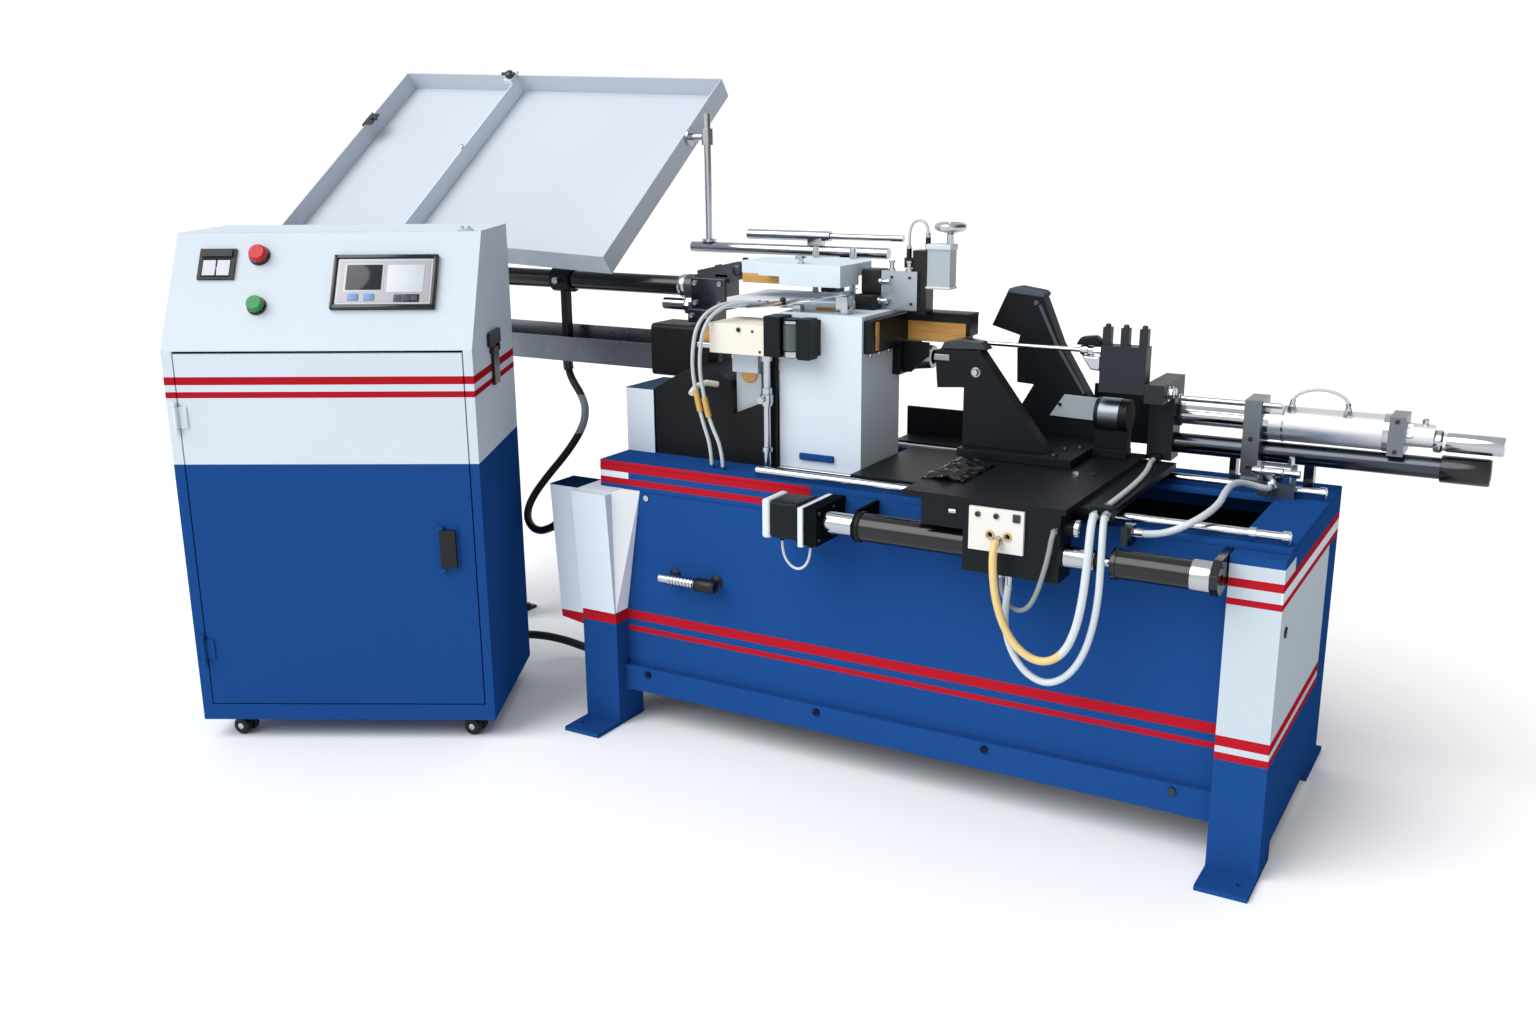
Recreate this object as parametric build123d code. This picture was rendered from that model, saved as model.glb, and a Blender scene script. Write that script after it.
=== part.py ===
# CNC wood lathe: bed, headstock, carriage, tail ram, bar feeder and a free-standing control cabinet.
# Millimetres. X runs along the bed, Y to the back, Z up.
# The origin is on the floor, at the middle of the bed's feet.
import os
from math import cos, sin, tan, radians, hypot, pi
from build123d import *

# Bed: legs, beams, panels. The front of the bed stands back from the front of its legs.
leg_outer_x = 808
leg_outer_y = 300
leg_size = 100
tube_wall = 4
foot_plate = 10
foot_reach = 90
foot_bolt_x = 784
foot_bolt_y = 345
foot_bolt_radius = 7
bed_x = (-772, 808)
bed_y = (-255, 300)
bed_top_z = 656
top_plate = 10
upper_beam = 60
upper_beam_z = (590, 646)
lower_beam_z = (88, 151)
lower_beam_y = (210, 270)
panel_y = 252
panel_sheet = 3
end_panel_bottom = 40
opening_x = (30, 705)
opening_y = (-200, 120)
belt_slot_x = (-275, -205)
belt_slot_y = (22, 138)
cover_sheet = 2
hose_gland_x = (500, 520)

# Guide rails and carriage
rail_x = (-350, 800)
rail_y = (-228, 150)
rail_z = 670
rail_radius = 10
rail_foot_half = 6
running_gap = 0.3
table_x = (80, 420)
table_y = (-382, 160)
table_z = (700, 712)
saddle_x = (90, 485)
saddle_y = (-305, 160)
saddle_bottom = 686
bearing_x = ((110, 170), (400, 460))
bearing_bottom = 663
bearing_half = (22, 18)
hose_block_x = (450, 492)
hose_block_y = -330

# Screw drive on the front of the bed
screw_y = -345
screw_z = 610
screw_radius = 9
screw_x = (-110, 700)
left_cover_x = (-31, 306)
left_cover_radius = 30
right_cover_x = (505, 690)
right_cover_radius = 28
cover_wall = 4
end_block_x = (690, 706)
apron_x = (212, 410)
apron_y = (-380, -310)
apron_bottom = 563
apron_end_wall = 12
nut_end = 475
nut_radius = 20
motor_x = (-245, -155)
motor_half = 43
motor_shaft = 7
manifold_x = (227, 340)
manifold_z = (611, 698)
tool_motor_x = (322, 395)
tool_motor_y = 101
tool_motor_z = 806
tool_motor_radius = 35

# Headstock on the spindle line
axis_y = 80
axis_z = 905
spindle_radius = 25
spindle_bore = 16
spindle_x = (-812, -100)
chuck_x = (-112, -60)
pulley_radius = 45
pulley_x = (-270, -215)
motor_axis_z = 470
motor_radius = 80
belt_x = (-265, -220)
belt_thickness = 6
shaft_gap = 0.05
column_x = (-345, -137)
column_y = (-135, 135)
column_top = 1015
notch_x = -203
notch_y = 60
notch_top = 866
jaw_plate_z = (1015, 1032)
jaw_posts = ((-390, 120), (-290, 120))
jaw_post_radius = 8
upper_jaw_z = (1066, 1115)
nose_x = (-137, -117)
nose_y = (20, 140)
nose_z = (868, 1006)
flange_y = -127
flange_bottom = 934
cheek_y = (42, 47)
guide_cap_z = (989, 1006)
guide_block_z = (943, 989)
valve_box_x = (-500, -354)
valve_box_z = (921, 989)
side_rod = (-362, -163)
knob_at = (-13, 48)

# Tail ram
tail_y = 200
barrel_z = 801
barrel_radius = 37
barrel_bore = 22.5
ram_radius = 21
guide_tube_z = 737
guide_tube_radius = 22
slim_rod_y = 162
slim_rod_z = 843
slim_rod_radius = 6
near_bracket_x = (621, 656)
far_bracket_x = (903, 934)
block_x = (333, 432)
block_z = (860, 960)
crosshead_end = 474
crosshead_z = (836, 884)
tail_leg_x = (415, 470)
lance_z = 945
lance_radius = 5
barrel_ports = (711, 821)
barrel_port_y = 180
port_top = 846

# Feeder on the spindle line
feed_left = -1790
feed_tube_z = 1036
feed_tube_radius = 24
feed_tube_right = -727
feed_stub_z = 990
channel_half = 40
channel_bottom = 826
channel_front_top = 890
channel_rear_top = 914
channel_right = -810
channel_sheet = 3
pusher_x = -1120
tray_x = (-2051, -898)
tray_low = (0, 1065)
tray_length = 692
tray_slope = 39.2
tray_lean = 2.3
tray_lean_z = 1285
tray_rim = 58
tray_sheet = 3
fence_x = -1615
tray_bar_y = 343
tray_bar_z = 1110
strut_x = -836
stand_posts = (-1790, -1525)
stand_post_size = 60
stand_post_y = (160, 220)

# Cabinet, in its own axes: width, depth from its front, height
cabinet_corner = (-1535, -855)
cabinet_turn = 28.9
cabinet_width = 705
cabinet_depth = 434
cabinet_bottom = 50
cabinet_front_top = 942
cabinet_top = 1192
console_run = 160
wheel_radius = 21
wheel_sides = (7, 23)
axle_radius = 3.5
castor_trail = 12
castor_turn = -106
castor_pad = 4
castor_front = ((70, 50), (635, 50))
castor_rear = ((70, 384), (635, 384))
door_u = (27, 681)
door_z = (92, 934)
hinge_pin = (21, -6)
hinge_pin_radius = 3
hinge_heights = (230, 790)
latch_pin = (607, -7)
latch_z = (434, 525)
stop_at = (199, 236)
stop_radius = 20
start_at = (207, 109)
start_radius = 18
stem_radius = 8
breaker_at = (104, 213.5)
breaker_pivot = (104, 203.5)
breaker_window = (66, 46)
breaker_pin_radius = 4
controller_at = (495, 165)
controller_size = (238, 134)
strap_pin = (709.5, 914)

nodes = {}


def node(name, *pieces):
    nodes[name] = Compound([solid for piece in pieces for solid in piece.solids()])


def block(x, y, z):
    return Pos(sum(x) / 2, sum(y) / 2, sum(z) / 2) * Box(x[1] - x[0], y[1] - y[0], z[1] - z[0])


def rod_x(x, y, z, radius):
    return Pos(sum(x) / 2, y, z) * Rot(0, 90, 0) * Cylinder(radius, x[1] - x[0])


def rod_y(x, y, z, radius):
    return Pos(x, sum(y) / 2, z) * Rot(90, 0, 0) * Cylinder(radius, y[1] - y[0])


def rod_z(x, y, z, radius):
    return Pos(x, y, sum(z) / 2) * Cylinder(radius, z[1] - z[0])


def prism_y(outline, y):
    # an outline in X and Z, carried from y[0] to y[1]
    face = Plane(origin=(0, y[1], 0), x_dir=(1, 0, 0), z_dir=(0, -1, 0)) * Polygon(*outline, align=None)
    return extrude(face, amount=y[1] - y[0], dir=(0, -1, 0))


def prism_x(outline, x):
    # an outline in Y and Z, carried from x[0] to x[1]
    face = Plane(origin=(x[0], 0, 0), x_dir=(0, 1, 0), z_dir=(1, 0, 0)) * Polygon(*outline, align=None)
    return extrude(face, amount=x[1] - x[0], dir=(1, 0, 0))


def open_tube(x, y, z, along):
    # a rectangular tube, open at both ends of the axis it runs along
    inner = []
    for axis, span in enumerate((x, y, z)):
        inner.append(span if axis == along else (span[0] + tube_wall, span[1] - tube_wall))
    return block(x, y, z) - block(*inner)


def mirrored(span, side):
    return tuple(sorted((side * span[0], side * span[1])))


def bed():
    under_top = bed_top_z - top_plate
    leg_x = (leg_outer_x - leg_size, leg_outer_x)
    leg_y = (leg_outer_y - leg_size, leg_outer_y)
    frame = []
    for sx in (-1, 1):
        x = mirrored(leg_x, sx)
        for sy in (-1, 1):
            y = mirrored(leg_y, sy)
            leg_top = upper_beam_z[0] if sx < 0 and sy < 0 else under_top
            leg = block(x, y, (foot_plate, leg_top))
            inside = [(span[0] + tube_wall, span[1] - tube_wall) for span in (x, y)]
            frame.append(leg - block(inside[0], inside[1], (foot_plate, leg_top - tube_wall)))
            foot = block(x, mirrored((leg_y[0], leg_outer_y + foot_reach), sy), (0, foot_plate))
            frame.append(foot - rod_z(sx * foot_bolt_x, sy * foot_bolt_y, (0, foot_plate), foot_bolt_radius))
    front = (bed_y[0], bed_y[0] + upper_beam)
    rear = (bed_y[1] - upper_beam, bed_y[1])
    frame.append(open_tube((bed_x[0], leg_x[0]), front, upper_beam_z, 0))
    frame.append(open_tube((-leg_x[0], leg_x[0]), rear, upper_beam_z, 0))
    frame.append(open_tube((bed_x[0], bed_x[0] + upper_beam), (front[1], leg_y[0]), upper_beam_z, 1))
    frame.append(open_tube((bed_x[1] - upper_beam, bed_x[1]), (-leg_y[0], leg_y[0]), upper_beam_z, 1))
    for sy in (-1, 1):
        frame.append(open_tube((-leg_x[0], leg_x[0]), mirrored(lower_beam_y, sy), lower_beam_z, 0))
    node("bed_frame", *frame)

    top_z = (under_top, bed_top_z)
    top = block(bed_x, bed_y, top_z) - block(opening_x, opening_y, top_z)
    node("bed_top", top - block(belt_slot_x, belt_slot_y, top_z))

    panel_span = (panel_y - panel_sheet, panel_y)
    panel_z = (lower_beam_z[1], upper_beam_z[0])
    node("side_panels", *[block((-leg_x[0], leg_x[0]), mirrored(panel_span, sy), panel_z) for sy in (-1, 1)])
    end_z = (end_panel_bottom, upper_beam_z[0])
    ends = [(bed_x[0], bed_x[0] + panel_sheet), (bed_x[1] - panel_sheet, bed_x[1])]
    node("end_panels", *[block(x, (-leg_y[0], leg_y[0]), end_z) for x in ends])

    t = cover_sheet
    wedge = prism_x([(-300, 290), (-305, 290), (-325, 588), (-300, 588)], (-808, -708))
    wedge -= prism_x([(-300, 292), (-303, 292), (-323, 586), (-300, 586)], (-808 + t, -708 - t))
    gusset_z = (290, upper_beam_z[0])
    plan = Polygon((-708, -300), (-660, -panel_y), (-708, -panel_y), align=None)
    gusset = extrude(Pos(0, 0, gusset_z[0]) * plan, amount=gusset_z[1] - gusset_z[0], dir=(0, 0, 1))
    gusset -= prism_y([(-708, gusset_z[0]), (-660, gusset_z[0]), (-660, gusset_z[1])], (-300, -panel_y))
    side_box = prism_y([(-808, 245), (-876, 255), (-895, 590), (-808, 590)], (-296, -204))
    side_box -= prism_y([(-808, 247), (-874, 257), (-893, 588), (-808, 588)], (-296 + t, -204 - t))
    side_box += rod_x((-908, -886), -235, 466, 15)
    end_box = block((-772, -692), (-140, 20), (bed_top_z, 812))
    end_box -= block((-772 + t, -692), (-140 + t, 20 - t), (bed_top_z, 812 - t))
    node("white_covers", wedge, gusset, side_box, end_box)

    ledge = -lower_beam_y[1]
    hardware = [rod_y(x, (ledge - 5, ledge), 136, 8) for x in (-640, -176, 230, 627)]
    hardware += [rod_y(x, (-panel_y - 4, -panel_y), 574, 7) for x in (-641, 641)]
    handle = rod_x((-583, -431), -panel_y - 36, 396, 11)
    for x in (-565, -449):
        handle += rod_y(x, (-panel_y - 36, -panel_y), 396, 9)
    hardware.append(handle)
    hardware.append(block(hose_gland_x, (-292, bed_y[0]), (632, 668)))
    node("bed_hardware", *hardware)

    rails = []
    for y in rail_y:
        rail = rod_x(rail_x, y, rail_z, rail_radius)
        rails.append(rail + block(rail_x, (y - rail_foot_half, y + rail_foot_half), (bed_top_z, 663)))
    node("guide_rails", *rails)

    cover = block((-130, 75), (-200, 122), (bed_top_z, 680))
    guard = block((-215, 60), (275, 283), (bed_top_z, 745))
    rear_cover = block((-200, 75), (174, 275), (bed_top_z, 680))
    node("way_cover", cover, guard, rear_cover)


def screw_drive():
    y, z = screw_y, screw_z
    front = bed_y[0]
    body = block(motor_x, (y - motor_half, y + motor_half), (z - motor_half, z + motor_half))
    body = fillet(body.edges().filter_by(Axis.X), 9)
    node("drive_motor", body - rod_x((motor_x[1] - 30, motor_x[1]), y, z, motor_shaft + shaft_gap))

    plate_x = (motor_x[1], motor_x[1] + 12)
    plate = block(plate_x, (y - 47, front), (560, upper_beam_z[1])) - rod_x(plate_x, y, z, 12)
    housing_x = (plate_x[1], screw_x[0] - 2)
    housing = block(housing_x, (y - 43, front), (564, upper_beam_z[1])) - rod_x(housing_x, y, z, 12)
    holder_x = (left_cover_x[0] - 8, left_cover_x[0])
    lug = [(front, upper_beam_z[1]), (y - 5, upper_beam_z[1]), (y - 32, z + 12), (y - 32, z - 12)]
    lug += [(y - 10, z - 32), (front, upper_beam_z[0])]
    holder = prism_x(lug, holder_x) - rod_x(holder_x, y, z, 12)
    node("motor_bracket", plate, housing, holder)

    left = rod_x(left_cover_x, y, z, left_cover_radius)
    left -= rod_x(left_cover_x, y, z, left_cover_radius - cover_wall)
    right = rod_x(right_cover_x, y, z, right_cover_radius)
    right += rod_x((right_cover_x[0], right_cover_x[0] + 10), y, z, right_cover_radius + 3)
    right -= rod_x(right_cover_x, y, z, right_cover_radius - cover_wall)
    end = prism_x(lug, end_block_x)
    node("screw_covers", left, right, end - rod_x(end_block_x, y, z, screw_radius + shaft_gap))

    screw = rod_x(screw_x, y, z, screw_radius) + rod_x((motor_x[1] - 25, screw_x[0]), y, z, motor_shaft)
    node("ball_screw", screw + rod_x((screw_x[0], left_cover_x[0] - 10), y, z, 24))


def carriage():
    table = block(table_x, table_y, table_z) + block(saddle_x, saddle_y, (saddle_bottom, table_z[0]))
    table += block(hose_block_x, (hose_block_y, saddle_y[0]), (684, table_z[1]))
    table += block((428, 452), (146, saddle_y[1]), (table_z[0], 716))
    bearings = []
    for y, half in zip(rail_y, bearing_half):
        for x in bearing_x:
            shell = block(x, (y - half, y + half), (bearing_bottom, saddle_bottom))
            bearings.append(shell - rod_x(x, y, rail_z, rail_radius + running_gap))
    node("carriage_table", table, *bearings)

    y, z = screw_y, screw_z
    apron = block(apron_x, apron_y, (apron_bottom, table_z[0]))
    apron -= rod_x((apron_x[0], apron_x[1] - apron_end_wall), y, z, left_cover_radius + 0.4)
    apron += rod_x((apron_x[1], nut_end), y, z, nut_radius)
    apron += rod_x((apron_x[1], apron_x[1] + 30), y, 668, 16)
    apron -= rod_x((apron_x[1] - apron_end_wall, nut_end), y, z, screw_radius + running_gap)
    node("carriage_apron", apron)

    plate_y = (apron_y[0] - 8, apron_y[0])
    plate = block(manifold_x, plate_y, manifold_z)
    for x in (272, 308):
        plate -= rod_y(x, plate_y, 645, 6)
    node("manifold_plate", plate)


def cross_slide():
    foot = table_z[1] + 20
    base_z = (table_z[1] + 0.4, foot)
    base = block((60, 320), (-60, 230), base_z)
    node("cross_slide", base + block((320, tool_motor_x[1]), (81, 121), base_z))
    near = [(60, foot), (60, 861), (-3, 856), (-10, 939), (95, 943), (184, 827), (257, foot)]
    far = [(120, foot), (120, 792), (150, 845), (110, 847), (107, 932), (113, 955), (45, 974), (81, 1055)]
    far += [(163, 1046), (208, 941), (283, 821), (310, 780), (310, foot)]
    tool_motor = rod_x(tool_motor_x, tool_motor_y, tool_motor_z, tool_motor_radius)
    tool_motor += block(tool_motor_x, (tool_motor_y - 15, tool_motor_y + 15), (foot, tool_motor_z))
    guard = block((262, 405), (262, 270), (base_z[0], 842))
    spacer = block((262, 320), (230, 262), base_z)
    node("tool_posts", prism_y(near, (-30, 10)), prism_y(far, (165, 205)), tool_motor, guard, spacer)


def headstock():
    y, z = axis_y, axis_z
    hollow_foot, hollow_end = (-470, 772), (-393, 804)
    outline = [(-690, bed_top_z), (-690, 815), (-600, 866), (-510, 868), (-478, 848), (-470, 820)]
    outline += [hollow_foot, hollow_end, (column_x[0], 815), (column_x[0], bed_top_z)]
    bearing_block = block((channel_right, -640), (y - 55, y + 55), (814, 944))
    bearing_block = fillet(bearing_block.edges().filter_by(Axis.X), 12)
    casting = prism_y(outline, column_y) + bearing_block
    node("headstock_casting", casting - rod_x((channel_right, -640), y, z, spindle_radius + shaft_gap))

    valve_box = block(valve_box_x, (-185, -60), valve_box_z)
    bowl_top = 868
    bowl = [hollow_foot, hollow_end, (hollow_end[0], bowl_top), (hollow_foot[0], bowl_top)]
    valve_foot = block((-480, -410), (-120, -60), (bowl_top, valve_box_z[0]))
    node("valve_box", valve_box, prism_y(bowl, (-118, 40)) + valve_foot)
    actuator = block((valve_box_x[1], -312), (-190, column_y[0]), (valve_box_z[0] + 1, 1012))
    actuator += block((-312, -238), (-150, column_y[0]), (925, 1005)) + rod_z(-290, -168, (922, 1008), 21)
    actuator += block((-268, -238), (-190, -150), (920, 1010))
    node("side_actuator", actuator, block((-386, -347), (-147, column_y[0]), (bed_top_z, valve_box_z[0])))

    t = cover_sheet
    column = block(column_x, column_y, (bed_top_z, column_top))
    hollow_x = (column_x[0] + t, column_x[1] - t)
    hollow_y = (column_y[0] + t, column_y[1] - t)
    hollow = block(hollow_x, hollow_y, (bed_top_z, column_top - t))
    hollow -= block((notch_x - t, column_x[1]), (notch_y - t, column_y[1]), (bed_top_z, notch_top + t))
    column -= block((notch_x, column_x[1]), (notch_y, column_y[1]), (bed_top_z, notch_top)) + hollow
    column -= rod_x(column_x, y, z, spindle_radius + 5)
    node("belt_cover", column, block((-530, -215), (-60, 140), jaw_plate_z))

    nose = block(nose_x, nose_y, nose_z) + block(nose_x, (flange_y, nose_y[0]), (flange_bottom, nose_z[1]))
    nose -= rod_x(nose_x, y, z, spindle_radius + shaft_gap)
    cheek_top = guide_block_z[0]
    cheek = [(nose_x[1], 872), (-100, 872), (-56, 915), (-56, cheek_top), (nose_x[1], cheek_top)]
    nose += prism_y(cheek, cheek_y)
    nose += block((nose_x[1], 36), (y - 25, y + 25), guide_cap_z)
    nose += block((26, 36), (y - 25, y + 25), (960, 989))
    node("nose_housing", nose)
    node("guide_block", block((nose_x[1], 26), (y - 22, y + 22), guide_block_z))

    shaft = rod_x(spindle_x, y, z, spindle_radius) + rod_x(pulley_x, y, z, pulley_radius)
    shaft += Pos(sum(chuck_x) / 2, y, z) * Rot(0, 90, 0) * Cone(32, 26, chuck_x[1] - chuck_x[0])
    node("spindle", shaft - rod_x((spindle_x[0], chuck_x[1]), y, z, spindle_bore))

    drive = rod_x(pulley_x, y, motor_axis_z, pulley_radius) + rod_x((-330, pulley_x[0]), y, motor_axis_z, 12)
    node("motor_pulley", drive)
    motor = rod_x((-520, -290), y, motor_axis_z, motor_radius)
    motor += block((-480, -330), (y - 40, y + 40), (motor_axis_z + 60, bed_top_z - top_plate))
    node("spindle_motor", motor - rod_x((-331, -290), y, motor_axis_z, 12 + shaft_gap))
    span = z - motor_axis_z
    side = Plane(origin=(belt_x[0], y, (z + motor_axis_z) / 2), x_dir=(0, 0, 1), z_dir=(1, 0, 0))
    inner = 2 * (pulley_radius + 0.4)
    loop = SlotCenterToCenter(span, inner + 2 * belt_thickness) - SlotCenterToCenter(span, inner)
    node("drive_belt", extrude(side * loop, amount=belt_x[1] - belt_x[0]))

    slab_z = (upper_jaw_z[1] - 29, upper_jaw_z[1])
    jaw = block((-443, -230), (-60, 150), slab_z)
    jaw = fillet(jaw.edges().filter_by(Axis.Z).sort_by(Axis.X)[-2:].sort_by(Axis.Y)[-1], 70)
    jaw += block((-512, -443), (-20, 100), slab_z)
    jaw += block((-388, -230), (-60, 32), (upper_jaw_z[0], slab_z[0]))
    for x, post_y in jaw_posts:
        jaw -= rod_z(x, post_y, upper_jaw_z, jaw_post_radius + running_gap)
    node("upper_jaw", jaw)

    unit = block((-94, -60), (28, 68), (guide_cap_z[1], 1148)) + block((-120, -94), (40, 56), (1108, 1130))
    unit += rod_z(-112, 48, (1130, 1150), 6) + rod_z(-66, 48, (1148, 1176), 6)
    bowl = fillet(block((-60, -5), (30, 66), (1065, 1160)).edges().filter_by(Axis.Y), 8)
    node("air_unit", unit, bowl)
    knob = fillet(rod_z(*knob_at, (1190, 1210), 36).edges(), 7)
    node("air_knob", rod_z(*knob_at, (1160.4, 1190), 8) + knob)


def tail():
    y = tail_y
    near = block(near_bracket_x, (y - 50, y + 36), (694, 853))
    near += block(near_bracket_x, (y - 36, y + 36), (bed_top_z, 694))
    near -= rod_x(near_bracket_x, y, guide_tube_z, guide_tube_radius + shaft_gap)
    near -= rod_x(near_bracket_x, y, barrel_z, ram_radius + running_gap)
    near -= rod_x(near_bracket_x, slim_rod_y, slim_rod_z, slim_rod_radius + running_gap)
    far = block(far_bracket_x, (y - 42, y + 42), (barrel_z - 40, barrel_z + 40))
    valve = block((668, 740), (122, 137), (bed_top_z, 728))
    air_plate = block((-166, -78), (18, 28), (column_top, 1102))
    node("alloy_brackets", near, far, valve, air_plate)

    guide = rod_x((413, 1092), y, guide_tube_z, guide_tube_radius)
    guide += rod_x((1004, 1092), y, guide_tube_z, 27)
    for x in ((592, 606), (745, 765)):
        guide += block(x, (y - 15, y + 15), (bed_top_z, guide_tube_z - 5))
    node("guide_tube", guide)

    barrel_x = (near_bracket_x[1], far_bracket_x[0])
    barrel = rod_x(barrel_x, y, barrel_z, barrel_radius)
    for x in barrel_ports:
        barrel += rod_z(x, barrel_port_y, (barrel_z + 15, port_top), 7)
    barrel -= rod_x(barrel_x, y, barrel_z, barrel_bore)
    rear_end = rod_x((far_bracket_x[1], 985), y, barrel_z, 24) + rod_x((985, 1113), y, barrel_z - 9, 18)
    node("tail_barrel", barrel, rear_end)

    head = block(block_x, (axis_y - 20, axis_y + 20), block_z)
    for x in (333, 372, 412):
        head += block((x, x + 18), (axis_y - 10, axis_y + 10), (block_z[1], 998))
    crosshead = block((block_x[1], crosshead_end), (axis_y - 20, y + 30), crosshead_z)
    motor_top = tool_motor_z + tool_motor_radius
    crosshead -= block((block_x[1], crosshead_end), (axis_y - 20, 152), (crosshead_z[0], motor_top + 2))
    leg = block(tail_leg_x, (y - 30, y + 30), (table_z[0], crosshead_z[0]))
    leg -= rod_x(tail_leg_x, y, guide_tube_z, guide_tube_radius + running_gap)
    node("tail_block", head, crosshead, leg)

    ram = rod_x((470, 760), y, barrel_z, ram_radius)
    slim = rod_x((crosshead_end, 694), slim_rod_y, slim_rod_z, slim_rod_radius)
    lance = rod_x((32, block_x[0]), axis_y, lance_z, lance_radius)
    lance += rod_x((285, block_x[0]), axis_y, lance_z, 10)
    node("tail_rods", ram, slim, lance)


def feeder():
    y = axis_y
    tube = rod_x((feed_left, feed_tube_right), y, feed_tube_z, feed_tube_radius)
    head = rod_x((feed_tube_right, -703), y, feed_tube_z, feed_tube_radius + 6)
    head += block((-703, -600), (y - 30, y + 30), (985, 1062))
    head += block((-712, -640), (y - 32, y + 32), (950, 1000))
    head += block((-690, -650), (y - 25, y + 25), (944, 950))
    arm = [(-690, 1055), (-690, 1078), (-575, 1103), (-548, 1103), (-548, 1066), (-600, 1050)]
    node("feed_tube", tube, head + prism_y(arm, (y - 20, y + 20)))

    t = channel_sheet
    length = (feed_left, channel_right)
    front, rear, low = y - channel_half, y + channel_half, channel_bottom
    channel = [block(length, (front, rear), (low, low + t))]
    channel.append(block(length, (front, front + t), (low + t, channel_front_top)))
    channel.append(block(length, (rear - t, rear), (low + t, channel_rear_top)))
    node("feed_channel", *channel)

    grip_x = (pusher_x - 30, pusher_x + 30)
    pusher = rod_x(grip_x, y, feed_tube_z, feed_tube_radius + 8)
    pusher += block((pusher_x - 10, pusher_x + 10), (y - 10, y + 10), (850, feed_tube_z - 25))
    pusher += block((pusher_x - 40, pusher_x + 40), (y - 34, y + 34), (832, 850))
    node("pusher", pusher - rod_x(grip_x, y, feed_tube_z, feed_tube_radius + running_gap))

    rise, run = sin(radians(tray_slope)), cos(radians(tray_slope))
    right_end = Pos(tray_x[1], 0, tray_lean_z)
    lean = right_end * Rot(0, tray_lean, 0) * right_end.inverse()

    def tray_slab(x, along, up):
        # a slab on the slope, given by its reach along the slope and its height off the underside;
        # the tray also leans, its left end the higher one
        corners = [(along[0], up[0]), (along[1], up[0]), (along[1], up[1]), (along[0], up[1])]
        outline = [(tray_low[0] + a * run - b * rise, tray_low[1] + a * rise + b * run) for a, b in corners]
        return lean * prism_x(outline, x)

    w = tray_sheet
    tray = [tray_slab(tray_x, (0, tray_length), (0, w)), tray_slab(tray_x, (0, w), (w, tray_rim))]
    tray.append(tray_slab(tray_x, (tray_length - w, tray_length), (w, tray_rim)))
    for x in (tray_x[0], tray_x[1] - w):
        tray.append(tray_slab((x, x + w), (w, tray_length - w), (w, tray_rim)))
    node("blank_tray", *tray)
    fence = tray_slab((fence_x, fence_x + 4), (14, tray_length - 8), (w + 0.5, tray_rim - 6))
    fence += tray_slab((fence_x - 30, fence_x), (14, tray_length - 8), (w + 0.5, w + 3.5))
    clamp_x = (fence_x - 26, fence_x + 4)
    fence += tray_slab(clamp_x, (tray_length - 34, tray_length - 6), (tray_rim - 6, tray_rim + 0.5))
    fence += tray_slab(clamp_x, (tray_length - 34, tray_length + 10), (tray_rim + 0.5, tray_rim + 7))
    node("tray_fence", fence)

    by, bz = tray_bar_y, tray_bar_z
    rods = [rod_x((-889, -304), by, bz, 14)]
    strut = rod_z(strut_x, by, (bz + 14, 1454), 9) + rod_z(strut_x, by, (bz + 14, bz + 22), 20)
    strut += rod_x((tray_x[1] + 9, strut_x), by, 1395, 9) + rod_z(strut_x, by, (1374, 1416), 15)
    rods.append(strut + lean * rod_x((tray_x[1], tray_x[1] + 8), by, 1395, 22))
    upper = rod_x((-712, -468), by, 1148, 13) + rod_x((-468, -264), by, 1148, 8)
    rods.append(upper + block((-530, -490), (by - 12, by + 12), (bz + 14, 1146)))
    rods.append(rod_z(*side_rod, (bed_top_z, valve_box_z[0]), 9) + rod_z(*side_rod, (812, 832), 15))
    rods += [rod_z(x, post_y, (jaw_plate_z[1], 1140), jaw_post_radius) for x, post_y in jaw_posts]
    rods.append(rod_x((-802, -712), y, feed_stub_z, 15))
    node("support_rods", *rods)

    stand = []
    above = tray_slab((tray_x[0] - 100, tray_x[1]), (0, tray_length), (0, 500))
    for x in stand_posts:
        post_x = (x, x + stand_post_size)
        stand.append(block(post_x, stand_post_y, (8, 1320)) - above)
        stand.append(block((x - 30, x + stand_post_size), (80, 300), (0, 8)))
        stand.append(block(post_x, (front, stand_post_y[0]), (800, low)))
        stand.append(block(post_x, (y - 18, stand_post_y[0]), (994, feed_tube_z - feed_tube_radius)))
    between = (stand_posts[0] + stand_post_size, stand_posts[1])
    stand.append(block(between, (170, 210), (300, 350)))
    stand.append(block((-440, -400), (240, 290), (bed_top_z, bz - 34)))
    stand.append(block((-440, -400), (240, by + 19), (bz - 34, bz - 14)))
    node("feeder_stand", *stand)


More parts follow.
